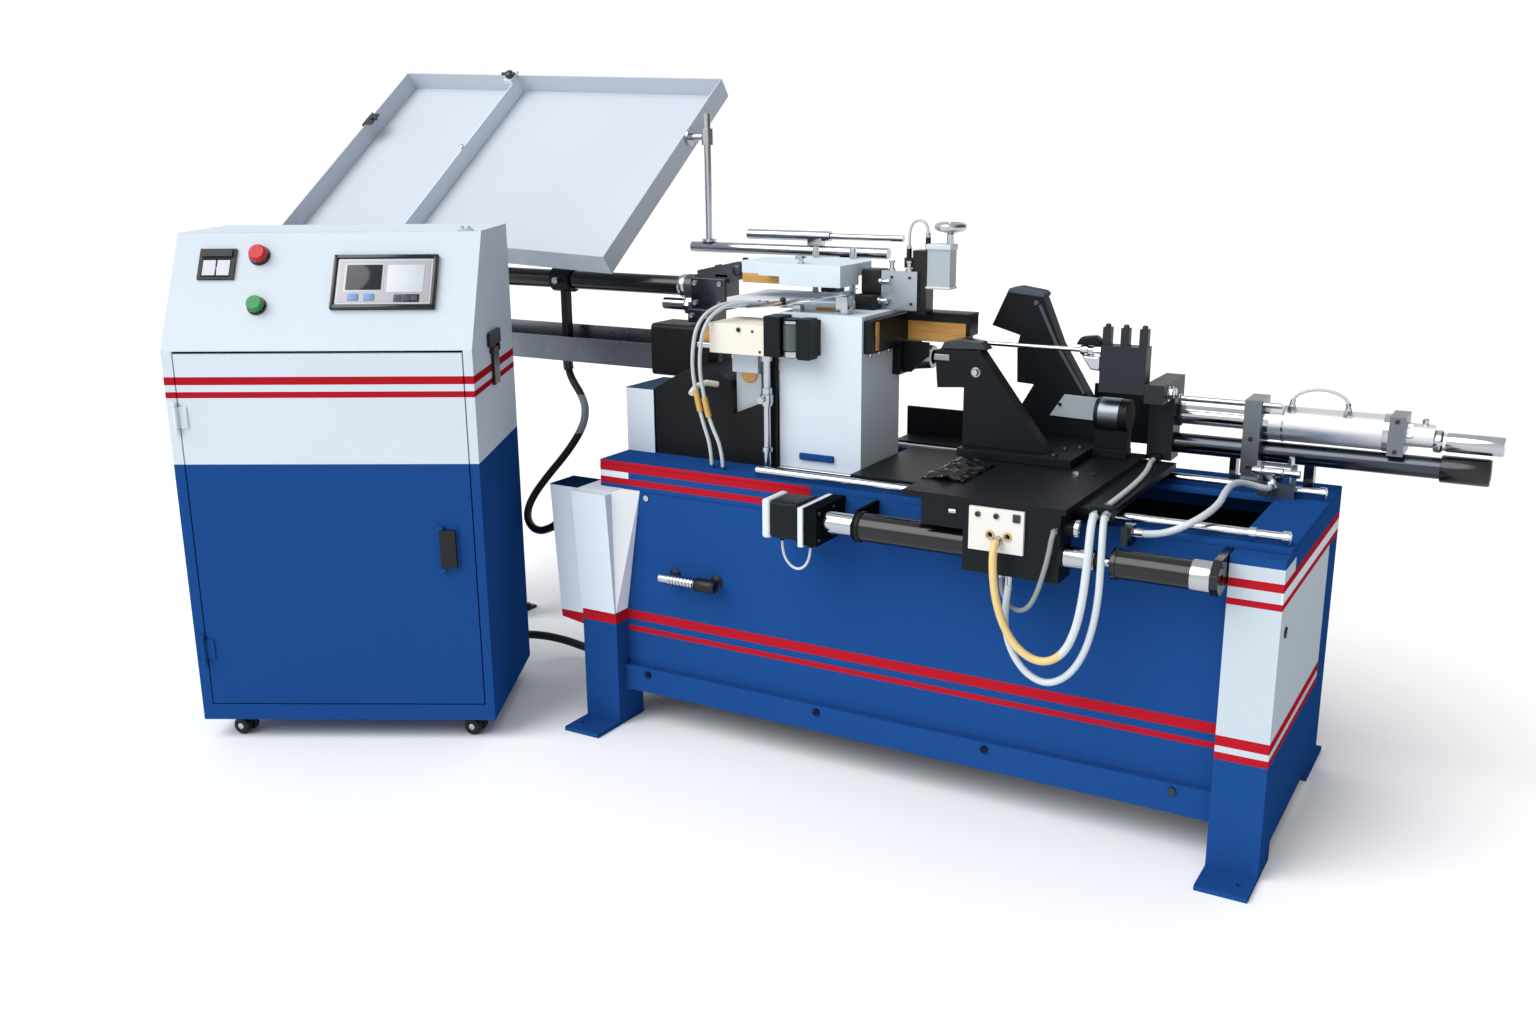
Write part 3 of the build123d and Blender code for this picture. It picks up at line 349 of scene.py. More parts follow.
def welded(points, faces):  # points that meet become one, and a face keeps each point once
    merged, index = np.unique(np.round(points, 4), axis=0, return_inverse=True)
    index = index.ravel()
    clean = []
    for face in faces:
        ring = index[np.asarray(face)].tolist()
        ring = [k for k, before in zip(ring, ring[-1:] + ring[:-1]) if k != before]
        if len(set(ring)) > 2:
            clean.append(ring)
    return merged, clean


def grid(rows, columns):  # the four-sided faces between rows and columns of points
    index = np.arange(rows * columns).reshape(rows, columns)
    return np.stack([index[:-1, :-1], index[:-1, 1:], index[1:, 1:], index[1:, :-1]], -1).reshape(-1, 4)


def softBox(x, y, z, r=1.5, steps=2):
    # rounded box: a point q of the sharp box goes to p = c + r (q - c) / |q - c|, with c its nearest inner point
    spans = np.array([x, y, z], float)
    r = min(r, 0.45 * np.ptp(spans, axis=1).min())
    bend = r - r * np.tan(np.linspace(math.pi / 4, 0, steps + 1))
    marks = [np.concatenate([low + bend, high - bend[::-1]]) for low, high in spans]
    points, faces = [], []
    for axis in range(3):
        a, b = [k for k in range(3) if k != axis]
        first, second = np.meshgrid(marks[a], marks[b], indexing="ij")
        for side in (0, 1):
            sharp = np.zeros(first.shape + (3,))
            sharp[..., a], sharp[..., b], sharp[..., axis] = first, second, spans[axis, side]
            core = np.clip(sharp, spans[:, 0] + r, spans[:, 1] - r)
            away = sharp - core
            away *= r / np.linalg.norm(away, axis=-1, keepdims=True)
            turn = 1 if (side == 1) == (axis == 1) else -1
            quads = grid(*first.shape)[:, ::turn] + sum(len(block) for block in points)
            faces += quads.tolist()
            points.append((core + away).reshape(-1, 3))
    return welded(np.concatenate(points), faces)


def turned(profile, at, axis=alongX, count=32, ring=False):
    # a profile of (a, r) carried round its axis: p = at + a e1 + r (e2 cos t + e3 sin t)
    line = [*profile, profile[0]] if ring else [(profile[0][0], 0), *profile, (profile[-1][0], 0)]
    along, radius = np.array(line, float).T
    e1 = np.array(axis, float) / np.linalg.norm(axis)
    e2 = np.cross(e1, upright if abs(e1[2]) < 0.9 else alongX)
    e2 /= np.linalg.norm(e2)
    e3 = np.cross(e1, e2)
    t = np.linspace(0, 2 * math.pi, count + 1)[:, None]
    spokes = np.cos(t) * e2 + np.sin(t) * e3
    points = np.array(at, float) + along[:, None, None] * e1 + radius[:, None, None] * spokes
    return welded(points.reshape(-1, 3), grid(len(line), count + 1))


def hoop(start, end, inner, outer, at, axis=alongX, count=32):  # a plain ring between two places on its axis
    return turned([(start, inner), (start, outer), (end, outer), (end, inner)], at, axis, count, True)


def pin(r, high, at, axis=upright):  # a round pin whose end is turned down by 2 mm
    return turned([(0, r), (high - 2, r), (high, r - 2)], at, axis, 16)


def slab(outline, span, across="Y"):  # an outline in the other two axes, carried straight across
    flat = np.array(outline, float)
    count = len(flat)
    ends = np.zeros((2, count, 3))
    ends[:, :, [k for k in range(3) if "XYZ"[k] != across]] = flat
    ends[:, :, "XYZ".index(across)] = np.array(span, float)[:, None]
    sides = [[k, (k + 1) % count, count + (k + 1) % count, count + k] for k in range(count)]
    return ends.reshape(-1, 3), [list(range(count))[::-1], list(range(count, 2 * count)), *sides]


def bar(route, radius, count=14):
    # a round bar along a route: each ring stands square to the bisector of the two runs that meet there
    line = np.array(route, float)
    runs = np.diff(line, axis=0)
    runs /= np.linalg.norm(runs, axis=1, keepdims=True)
    way = np.concatenate([runs[:1], runs[:-1] + runs[1:], runs[-1:]])
    way /= np.linalg.norm(way, axis=1, keepdims=True)
    side = np.cross(way[0], upright if abs(way[0][2]) < 0.9 else alongX)
    t = np.linspace(0, 2 * math.pi, count + 1)[:, None]
    rings = []
    for point, ahead in zip(line, way):
        side = side - ahead * side.dot(ahead)
        side /= np.linalg.norm(side)
        rings.append(point + radius * (np.cos(t) * side + np.sin(t) * np.cross(ahead, side)))
    ends = [np.repeat(line[:1], count + 1, axis=0), *rings, np.repeat(line[-1:], count + 1, axis=0)]
    return welded(np.concatenate(ends), grid(len(ends), count + 1))


def sheet(x, y, z, thick):  # a grid of points, the same grid below it, and a wall round the rim
    top = np.stack([x, y, z], -1).reshape(-1, 3)
    faces, count = grid(*x.shape), len(top)
    index = np.arange(count).reshape(x.shape)
    rim = np.concatenate([index[0, :], index[1:, -1], index[-1, -2::-1], index[-2:0:-1, 0]])
    after = np.roll(rim, -1)
    walls = np.stack([rim, after, after + count, rim + count], -1)
    sides = np.concatenate([faces, faces[:, ::-1] + count, walls[:, ::-1]])
    return np.concatenate([top, top - (0, 0, thick)]), sides.tolist()


def square(rows, columns):  # s and t from 0 to 1 over a grid
    return np.meshgrid(np.linspace(0, 1, rows), np.linspace(0, 1, columns), indexing="ij")


def between(span, share):
    return span[0] + (span[1] - span[0]) * share


def hexHead(at, axis, across, high):  # six-sided head with its top corners turned off, on a washer
    r = across / math.sqrt(3)
    disc = turned([(0, 1.25 * r), (0.2 * high, 1.25 * r)], at, axis, 24)
    return joined(disc, turned([(0.2 * high, r), (high, r), (1.2 * high, 0.84 * r)], at, axis, 6))


def socketHead(at, axis, r, high):  # round head with a socket sunk in its top
    profile = [(0, r), (0.85 * high, r), (high, 0.88 * r), (high, 0.52 * r), (0.4 * high, 0.48 * r)]
    return turned(profile, at, axis, 20)


def outward(shape):  # the faces turned so that the volume, sum of a . (b x c) / 6, comes out positive
    points, faces = shape
    fans = [(face[0], face[k], face[k + 1]) for face in faces for k in range(1, len(face) - 1)]
    a, b, c = points[np.array(fans)].transpose(1, 0, 2)
    if np.einsum("ij,ij->", a, np.cross(b, c)) < 0:
        faces = [face[::-1] for face in faces]
    return points, faces


def joined(*shapes):  # several closed shapes as one
    points, faces, start = [], [], 0
    for corners, sides in map(outward, shapes):
        points.append(corners)
        faces += [[start + k for k in side] for side in sides]
        start += len(corners)
    return np.concatenate(points), faces


def moved(shape, place):  # a shape put through a function of its points
    return place(shape[0]), shape[1]


def placed(name, data):
    made = bpy.data.objects.new(name, data)
    bpy.context.scene.collection.objects.link(made)
    return made


def piece(name, finish, *shapes, body="bed", nodes=(), rounding=0.0, smooth=40):
    corners, faces = joined(*shapes)
    mesh = bpy.data.meshes.new(name)
    mesh.from_pydata((corners / 1000).tolist(), [], faces)
    mesh.materials.append(finishes[finish].material)
    mesh.shade_smooth()
    mesh.set_sharp_from_angle(angle=math.radians(smooth))
    made = placed(name, mesh)
    if rounding:
        bevelled(made, rounding)
    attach(made, body)
    if nodes:
        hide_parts(*nodes)
    return made


# planes that several pieces sit on and lines that they share, mm
bedTop, tableTop, slideTop = 656, 712, 732
plateFront, boxFront, airPlate = -388, -185, 18
axisY, tailY = 80, 200
screwLine, motorLine, barrelLine = (0, -345, 610), (0, 101, 806), (0, tailY, 801)
lanceLine, feedLine, upperTube = (0, axisY, 945), (0, axisY, 1036), (0, tailY, 792)

# control cabinet: u across its front, v inwards; on the sloping console s up the face and h out of it
cabinet = {"corner": (-1535, -855), "turn": math.radians(28.9), "frontTop": 942, "slope": (0.5391, 0.8423)}


def onCabinet(points):
    u, v, z = points.T
    c, s = math.cos(cabinet["turn"]), math.sin(cabinet["turn"])
    return np.column_stack([cabinet["corner"][0] + u * c - v * s, cabinet["corner"][1] + u * s + v * c, z])


def onConsole(points):  # v = s run - h rise, z = s rise + h run
    u, s, h = points.T
    run, rise = cabinet["slope"]
    return onCabinet(np.column_stack([u, s * run - h * rise, cabinet["frontTop"] + s * rise + h * run]))


# the controller's layers: finish, heights above the console, roundness, and the u and s of each box
controller = {
    "controllerRim": ("glossBlack", (6, 12), 1.5, [((376, 614), (98, 107)), ((376, 614), (223, 232)),
                                                   ((376, 385), (98, 232)), ((605, 614), (98, 232))]),
    "controllerEdge": ("palePlastic", (7, 9), 0.6, [((386, 604), (108, 222))]),
    "controllerPlate": ("panelPlastic", (8, 10), 0.6, [((391, 599), (113, 217))]),
    "screenEdge": ("palePlastic", (9, 10.8), 0.6, [((404, 494), (139, 210))]),
    "screen": ("darkGlass", (10, 11.6), 0.6, [((408, 490), (143, 206))]),
    "controllerCard": ("palePlastic", (9, 11), 0.6, [((502, 586), (137, 206))]),
    "controllerKeys": ("keyPlastic", (9, 12), 0.6, [((u, u + 24), (117, 133)) for u in (415, 452)]),
    "keyBar": ("glossBlack", (9, 11), 0.6, [((520, 579), (113, 132))]),
    "keyBarSegments": ("greyPaint", (10, 12), 0.6, [((u, u + 15), (116, 129)) for u in (524, 542, 560)]),
}
for name, (finish, h, r, boxes) in controller.items():
    piece(name, finish, *[moved(softBox(u, s, h, r, 1), onConsole) for u, s in boxes])

# collars round the two push buttons, and a catch on the corner of the lid
pushButtons = {"stopCollar": (199, 236, 20), "startCollar": (207, 109, 18)}
for name, (u, s, r) in pushButtons.items():
    profile = [(0, r + 0.8), (0, r + 4.5), (4, r + 4.2), (6, r + 2.6), (6, r + 0.8)]
    piece(name, "glossBlack", moved(turned(profile, (u, s, 0), upright, 48, True), onConsole))
lidCatch = {"u": (652, 684), "v": (158, 178), "z": (1192, 1197)}
catchPins = [pin(4, 7, (u, 168, 1196)) for u in (660, 676)]
piece("lidCatch", "chrome", moved(joined(softBox(*lidCatch.values(), 1.5), *catchPins), onCabinet))

# air slots on the back of the cabinet; hubs of the castor wheels, placed by u, v, turn in degrees and trail
backVents = {"u": (170, 535), "from": 250, "pitch": 24, "count": 9}
vents = [slab([(434, z), (441, z + 3), (434, z + 15)], backVents["u"], "X")
         for z in backVents["from"] + backVents["pitch"] * np.arange(backVents["count"])]
piece("backVents", "cabinetPaint", moved(joined(*vents), onCabinet))
castors = {"wheel_left": [(70, 50, -106, 12)], "wheel_right": [(635, 50, -106, 12)],
           "rear_wheels": [(70, 384, 0, 0), (635, 384, 0, 0)]}
axleZ = 21
hubProfile = [(22.6, 8), (23.6, 7.6), (24.4, 6), (25, 4), (25.4, 2)]


def makeHubs(places):
    hubs = []
    for u, v, turn, trail in places:
        c, s = math.cos(math.radians(turn)), math.sin(math.radians(turn))
        for side in (-1, 1):
            points, faces = turned(hubProfile, (0, trail, axleZ), (side, 0, 0), 24)
            x, y, z = points.T
            hubs.append((onCabinet(np.column_stack([u + c * x - s * y, v + s * x + c * y, z])), faces))
    return hubs


for body, places in castors.items():
    piece(body + "Hubs", "chrome", *makeHubs(places), body=body)
print("cabinet pieces made")

# the carriage motor: pale end cap, dark body with a flange, corner bolts and the cable's gland
motor = {"x": (-245, -155), "y": (-388, -302), "z": (567, 653), "cap": -226, "flange": -164, "gland": -219,
         "bolts": (10, 76)}


def makeMotor(spec):
    (left, right), y, z = spec["x"], spec["y"], spec["z"]
    piece("motorCap", "whitePaint", softBox((left, spec["cap"]), y, z, 6, 3), nodes=("drive_motor",))
    core = softBox((spec["cap"] - 4, right), (y[0] + 2, y[1] - 2), (z[0] + 2, z[1] - 2), 9, 3)
    flange = softBox((spec["flange"], right), y, z, 5, 2)
    gland = turned([(0, 8), (9, 8), (12, 5)], (spec["gland"], screwLine[1], z[0] + 3), downward, 16)
    piece("motorBody", "blackPaint", core, flange, gland, nodes=("drive_motor",))
    corners = [(left, y[0] + a, z[0] + b) for a in spec["bolts"] for b in spec["bolts"]]
    bolts = [socketHead(at, (-1, 0, 0), 4, 3) for at in corners]
    piece("motorBolts", "darkSteel", *bolts, nodes=("drive_motor",))


makeMotor(motor)

# rings on the screw's covers, and screws in the drive's housing and end block
piece("coverClamp", "chrome",
      turned([(654, 28.1), (654, 30.6), (656, 31), (688, 31), (690, 30.6), (690, 28.1)], screwLine, ring=True))
piece("coverRing", "blackPaint",
      turned([(-31, 30.1), (-31, 33), (-24, 33), (-22, 31.5), (-22, 30.1)], screwLine, ring=True))
housingScrews = [socketHead((-112, y, z), alongX, 4, 4) for y in (-378, -312) for z in (577, 635)]
endScrews = [socketHead((706, y, z), alongX, 4.5, 4) for y in (-350, -275) for z in (604, 636)]
piece("bearingScrews", "darkSteel", *housingScrews, *endScrews)

# front of the carriage: skirt, its stop pin, the plate's rims, plug and screws, the nut's sleeve and a stub's cap
apronSkirt = {"x": (122, 213), "y": (-381, -376), "z": (646, 700)}
piece("apronSkirt", "blackPaint", softBox(*apronSkirt.values(), 1.5), body="carriage")
piece("stopPin", "chrome", turned([(0, 4), (1, 5), (15, 5), (16, 4)], (184, -385, 682), alongX, 20), body="carriage")
portRims = [turned([(0, 6.1), (0, 9.5), (2.5, 8.8), (2.5, 6.1)], (x, plateFront, 645), toFront, 24, True)
            for x in (272, 308)]
piece("portRims", "amber", *portRims, body="carriage")
manifoldScrews = {"x": (246, 284), "z": 684, "plug": ((318, 333), (-391, -387), (676, 692))}
heads = [socketHead((x, plateFront, manifoldScrews["z"]), toFront, 5.5, 4) for x in manifoldScrews["x"]]
piece("manifoldScrews", "darkSteel", *heads, softBox(*manifoldScrews["plug"], 1), body="carriage")
sleeve = [(410, 20.2), (410, 21), (412, 21.8), (413, 21.8), (415, 21), (468, 21), (471, 20.2)]
piece("nutSleeve", "chromeAlongX", turned(sleeve, screwLine, ring=True), body="carriage")
stubCap = [(430, 16.1), (430, 18), (438, 18), (441, 15), (441, 0.1)]
piece("stubCap", "chrome", turned(stubCap, (0, screwLine[1], 668), ring=True), body="carriage")

# table: two bolts, and the crumpled rubber flap that hangs over its left edge
tableBolts = {"bright": (349, -112), "dark": (377, -86)}
piece("tableBolt", "chrome", hexHead((*tableBolts["bright"], tableTop), upright, 13, 8), body="carriage")
piece("tablePlug", "darkSteel", socketHead((*tableBolts["dark"], tableTop), upright, 8, 2.5), body="carriage")
flap = {"y": (-278, -98), "x": (168, 62), "rest": tableTop + 1, "drop": 24, "thick": 2.2}


def makeFlap(spec):
    # grid over s along the edge and t across it; folds are sums of sines that grow towards the free edge,
    # and past the table's edge at x = 80 the sheet turns down
    s, t = square(60, 44)
    x = between(spec["x"], t) + 8 * np.sin(9 * s + 4 * t) * t
    y = between(spec["y"], s) + 4 * np.sin(12 * t + 3 * s)
    folds = np.sin(17 * s + 6 * t) + 0.7 * np.sin(29 * s - 13 * t + 1) + 0.5 * np.sin(41 * s + 23 * t)
    fall = np.clip((84 - x) / 18, 0, 1)
    z = spec["rest"] + 3.2 * (folds + 2.2) * (0.25 + 0.75 * np.sin(math.pi * np.clip(t, 0.05, 0.95)))
    z = z - spec["drop"] * fall ** 2
    return sheet(x, y, z, spec["thick"])


piece("rubberFlap", "glossBlack", makeFlap(flap), smooth=80, body="carriage")

# tool posts: clamped tool and its insert, pivot bolt, the far post's cap and rib, deflector, motor band and bolts
nearTool = [(2, 942), (10, 957), (48, 967), (96, 962), (112, 946)]
piece("nearTool", "darkSteel", slab(nearTool, (-27, 7)), rounding=2, body="cross")
piece("nearInsert", "groundSteel", softBox((-11, 26), (-33, -29), (917, 931), 1.5), body="cross")
piece("pivotBolt", "chrome", hexHead((88, -30, 897), toFront, 15, 8), body="cross")
farCap = [(79, 1050), (84, 1060), (104, 1064), (160, 1056), (169, 1050), (166, 1042)]
piece("farCap", "greyPaint", slab(farCap, (162, 208)), rounding=3, body="cross")
farRib = [(158, 163, 1026), (203, 163, 936), (270, 163, 834)]
piece("farRib", "greyPaint", bar(farRib, 4), pin(6, 6, (150, 165, 1030), toFront), body="cross")
deflector = [(192, 778), (225, 829), (306, 827), (304, 775)]
piece("deflector", "palePaint", slab(deflector, (161, 165.5)), rounding=1, body="cross")
piece("deflectorScrew", "darkSteel", socketHead((216, 161, 806), toFront, 4, 3), body="cross")
piece("toolMotorBands", "satinAlloy", hoop(332, 376, 35.1, 36.2, motorLine, count=48), body="cross")
postBolts = ((276, -40), (276, 30), (300, 60), (90, 60), (90, 150))
piece("postBolts", "darkSteel", *[socketHead((*at, slideTop), upright, 6, 6) for at in postBolts], body="cross")

# tail head: nut, ring, silver clamp and hood on the lance, caps on the prongs, and nuts on the ram
piece("lanceNut", "chrome", turned([(314, 14), (316, 15), (330, 15), (333, 14)], lanceLine, count=6),
      turned([(290, 10.1), (290, 13), (296, 14), (302, 13), (302, 10.1)], lanceLine, ring=True), body="tail_ram")
lanceClamp = [(292, 934), (333, 934), (333, 904), (312, 906)]
piece("lanceClamp", "chrome", slab(lanceClamp, (62, 98)), rounding=3, body="tail_ram")
lanceHood = [(276, 957), (286, 974), (318, 978), (333, 966), (333, 957)]
piece("lanceHood", "blackPaint", slab(lanceHood, (66, 94)), rounding=4, body="tail_ram")
prongCaps = [pin(6, 7, (x + 9, axisY, 998)) for x in (333, 372, 412)]
piece("prongCaps", "darkSteel", *prongCaps, body="tail_ram")
ramNuts = [turned([(470, 27), (482, 27), (485, 24)], barrelLine, count=6),
           turned([(474, 11), (484, 11), (486, 9)], (0, 162, 843), count=6),
           hexHead((474, 96, 862), alongX, 22, 10), hexHead((474, 126, 862), alongX, 16, 8)]
piece("ramNuts", "chrome", *ramNuts, body="tail_ram")

# tail barrel: end bands, port nuts, rear sleeves; valve fittings, bracket screws and collars on the rails
bands = [hoop(x, x + w, 37.1, 39, barrelLine, count=48) for x, w in ((657, 11), (694, 4), (891, 11))]
piece("barrelBands", "chromeAlongX", *bands)
piece("portNuts", "chrome",
      *[turned([(830, 9.5), (841, 9.5), (843, 8)], (x, 180, 0), upright, 6) for x in (711, 821)])
rearSleeve = [(1003, 22.2), (1003, 27), (1005, 28), (1090, 28), (1094, 26), (1094, 18), (1092, 17), (1092, 0.2)]
piece("rearSleeve", "glossBlack", turned(rearSleeve, (0, tailY, 737), ring=True, count=40))
upperSleeve = [(1008, 18.1), (1008, 19), (1010, 19.8), (1108, 19.8), (1112, 18.6), (1112, 18.1)]
piece("upperSleeve", "chromeAlongX", turned(upperSleeve, upperTube, ring=True, count=40))
piece("rearFittings", "chrome", turned([(934, 26), (946, 26), (949, 23)], barrelLine, count=6),
      turned([(985, 21), (990, 23), (998, 23), (1002, 19)], upperTube),
      pin(6, 14, (966, tailY, 822)))
valveBar = [(654, 8), (660, 10), (672, 10), (674, 7), (700, 7), (702, 11), (716, 11), (718, 7), (738, 7), (742, 9),
            (750, 8)]
piece("valveFittings", "chrome", turned(valveBar, (0, 116, 712), count=20),
      turned([(0, 12), (8, 12), (10, 9)], (695, 122, 680), toFront, 6),
      softBox((676, 732), (116, 122.5), (690, 724), 2), pin(7, 18, (728, 130, 727)))
bracketScrews = [socketHead((638, 150, z), toFront, 5, 4) for z in (710, 770)]
bracketScrews += [socketHead((918, 158, z), toFront, 4.5, 4) for z in (770, 832)]
piece("bracketScrews", "darkSteel", *bracketScrews)
collars = [hoop(x, x + 12, 10.1, 13, (0, y, 670)) for y in (-228, 150) for x in (726, 786)]
piece("railCollars", "chrome", *collars)
print("carriage and tail pieces made")

# valve box: screws, the clip on its left end, the hanging screw, and the timber half disc under its foot
piece("boxScrews", "darkSteel", socketHead((-421, boxFront, 977), toFront, 5, 4),
      socketHead((-385, boxFront, 975), toFront, 3, 2), socketHead((-366, boxFront, 930), toFront, 3, 2))
piece("clipTimber", "planedTimber", softBox((-533, -499.5), (-164, -116), (940, 974), 3))
piece("clipPlates", "chrome", softBox((-547, -499.5), (-168, -112), (926, 939.5), 3),
      softBox((-527, -499.5), (-160, -120), (974.5, 983), 2),
      pin(6, 20, (-539, -140, 938)))
piece("hangingScrew", "darkSteel",
      turned([(0, 7), (4, 7), (5, 4), (16, 4), (17, 6), (25, 6), (27, 4)], (-492, -150, 922), downward, 16))
halfDisc = [(-434 + 22 * math.cos(a), 868 + 22 * math.sin(a)) for a in np.linspace(math.pi, 2 * math.pi, 25)]
piece("halfDisc", "planedTimber", slab(halfDisc, (-122, -117.5)), rounding=1)

# side actuator: smoked glass round its cylinder, bright foot and cap; collars on the side rod
actuatorLine = (-290, -168, 0)
piece("actuatorGlass", "smokeGlass", hoop(938, 996, 21.1, 22.4, actuatorLine, upright, 48))
piece("actuatorRings", "chrome",
      *[hoop(z, z + h, 21.1, 24, actuatorLine, upright, 48) for z, h in ((924, 12), (998, 6))])
sideRod = (-362, -163, 0)
rodCollars = [hoop(z, z + h, 9.1, r, sideRod, upright, 24)
              for z, h, r in ((bedTop, 8, 18), (700, 10, 13), (806, 6, 13), (833, 14, 13), (908, 13, 14))]
piece("rodCollars", "chrome", *rodCollars)
piece("rodClampScrew", "chrome", turned([(0, 6), (12, 6), (14, 8), (18, 8)], (-362, -176, 822), toFront, 12))

# column: sill, blue foot plate, timber strips, green plug, bolts under the flange, and the guide cap's rim
piece("columnFoot", "bluePaint", softBox((-291, -204), (-142, -134), (684, 699), 2))
piece("columnSill", "chrome", softBox((-345, -140), (-150, -136), (bedTop, bedTop + 8), 2))
piece("timberStrips", "planedTimber", softBox((-287, -226), (-70, -60.5), (1014, 1022), 1.5),
      softBox((-118, -113), (-109, -96), (940, 1002), 1.5))
piece("greenPlug", "greenPlastic", turned([(0, 9), (10, 9), (12, 6)], (-212, -66, 1015), upright, 20))
flangeBolts = [socketHead((-127, y, 935), downward, 5, 9) for y in (-112, -70, -20)]
piece("flangeBolts", "chrome", *flangeBolts)
piece("capRim", "blackPaint", softBox((-117, 36.5), (53, 107), (1004, 1010), 2))

# air side: two solenoid blocks, plate screws, bright couplings and the handwheel on the regulator
piece("solenoids", "blackPlastic", softBox((-218, -168), (-14, 40), (1015, 1049), 3),
      softBox((-216, -167), (16, 58), (1049, 1104), 3))
couplings = [turned([(0, 8), (6, 8), (7, 5), (18, 5), (19, 7), (24, 7)], at, axis, 12)
             for at, axis in (((-168, 4, 1036), alongX), ((-142, 23, 1101), upright), ((-166, 12, 1078), alongX),
                              ((-100, 23, 1101), upright))]
piece("airCouplings", "chrome", *couplings)
plateScrews = ((-140, 1088), (-96, 1088), (-150, 1028), (-92, 1030))
piece("plateScrews", "darkSteel", *[socketHead((x, airPlate, z), toFront, 3.5, 2.5) for x, z in plateScrews])
bowlBands = [softBox((-63, -2), (27, 69), (z, z + h), 3) for z, h in ((1150, 13), (1064, 6))]
piece("bowlBands", "palePlastic", *bowlBands)
handwheel = [(1160.4, 8), (1184, 8), (1189, 18), (1191, 30), (1195, 35), (1200, 36), (1205, 35), (1209, 31),
             (1210, 26), (1206, 20), (1205, 9), (1210, 7), (1211, 4)]
piece("airHandwheel", "chromeUpright", turned(handwheel, (-13, 48, 0), upright, 56), nodes=("air_knob",), body="knob")

# clamping jaw: timber pad, top clamp, and the thin bright guard that stands in front of the gap
piece("jawTimber", "planedTimber", softBox((-511, -389), (-20, 34), (1064, 1086.5), 2), body="jaw")
jawScrew = [(0, 9), (4, 9), (5, 5), (12, 5), (13, 9), (18, 8)]
piece("jawClamp", "chrome", turned(jawScrew, (-340, -40, 1114.5), upright),
      bar([(-352, -48, 1128), (-330, -34, 1132)], 4), body="jaw")
guard = {"x": (-500, -178), "y": (-132, -73), "z": (1014, 1064), "thick": 2.0}


def makeGuard(spec):
    # a thin sheet over s along the machine and t across it, rising with s squared, with shallow waves
    s, t = square(70, 18)
    x = between(spec["x"], s)
    y = between(spec["y"], t) + 20 * (1 - s) ** 2 * (1 - t)
    z = between(spec["z"], 0.35 * s + 0.65 * s ** 2) + 6 * t
    z = z + 1.6 * np.sin(11 * s + 3 * t) + 0.9 * np.sin(23 * s - 5 * t)
    return sheet(x, y, z, spec["thick"])


piece("jawGuard", "chrome", makeGuard(guard), smooth=80)
piece("guardStays", "chrome", softBox((-490, -462), (-78, -59.5), (1014, 1022), 2),
      softBox((-212, -182), (-118, -90), (1014.5, 1056), 2), softBox((-320, -300), (-118, -96), (1014.5, 1032), 2))
piece("guardKnob", "darkSteel",
      turned([(0, 8), (5, 8), (6, 4), (12, 4), (13, 7), (19, 7), (21, 4)], (-352, -100, 1024), (0, -0.3, 1)))

# feed head: collar on the tube, nut on the stub, bolts, and a hand screw on its arm; the pusher's screw
feedCollar = [(-748, 24.1), (-748, 27), (-744, 29), (-732, 29), (-728, 27), (-728, 24.1)]
piece("feedCollar", "chrome", turned(feedCollar, feedLine, ring=True, count=40))
piece("stubNut", "chrome", turned([(-734, 24), (-732, 25), (-716, 25), (-712, 24)], (0, axisY, 990), count=6))
headBolts = [socketHead((x, 46, z), toFront, 7, 6) for x in (-688, -616) for z in (1000, 1048)]
headBolts += [socketHead((x, 44, 968), toFront, 7, 6) for x in (-698, -654)]
piece("headBolts", "chrome", *headBolts)
piece("headPlates", "darkChrome", softBox((-702, -601), (46, 51), (986, 1061), 3),
      softBox((-711, -641), (44, 49), (951, 984), 3), softBox((-640, -600), (60, 100), (1062, 1072), 2))
piece("armScrew", "darkSteel",
      turned([(0, 8), (6, 8), (8, 13), (18, 13), (20, 10)], (-566, 60, 1084), toFront, 20),
      turned([(0, 8), (8, 8), (10, 5)], (-562, axisY, 1102), upright, 16),
      turned([(0, 9), (6, 9)], (-640, axisY, 1086), (-0.2, 0, 1), 6))
pusherScrew = [(0, 5), (4, 5), (5, 9), (14, 9), (16, 7)]
piece("pusherScrew", "chrome", turned(pusherScrew, (-1120, 47, feedLine[2]), toFront, 16), body="pusher")

# tray: a spring clip on its left rim, a wing knob and a pin on the fence; a runs up the slope, b off the underside
slope = {"foot": 1065, "rise": math.radians(39.2), "lean": math.radians(2.3), "pivot": (-898, 1285)}


def onTray(points):  # y = a cos - b sin, z = foot + a sin + b cos, then the lean about the right end
    x, a, b = points.T
    rise, lean, (px, pz) = slope["rise"], slope["lean"], slope["pivot"]
    y = a * math.cos(rise) - b * math.sin(rise)
    x, z = x - px, slope["foot"] + a * math.sin(rise) + b * math.cos(rise) - pz
    turn, drop = math.cos(lean), math.sin(lean)
    return np.column_stack([px + x * turn + z * drop, y, pz - x * drop + z * turn])


rimClip = [softBox((-2057, -2052), (440, 500), (30, 62), 2), softBox((-2057, -2022), (446, 494), (58, 63), 2),
           bar([(-2040, 470, 62), (-2024, 470, 70), (-2006, 462, 66)], 3)]
piece("rimClip", "darkSteel", moved(joined(*rimClip), onTray))
fenceKnob = [turned([(65, 7), (68, 7), (70, 13), (80, 12), (83, 8)], (-1622, 674, 0), upright, 20),
             softBox((-1650, -1600), (669, 679), (72, 79), 3)]
piece("fenceKnob", "darkSteel", moved(joined(*fenceKnob), onTray), body="fence")
piece("fencePin", "chrome",
      moved(turned([(0, 4), (6, 4), (7, 7), (10, 7), (12, 4)], (-1613, 372, 51), upright, 16), onTray), body="fence")

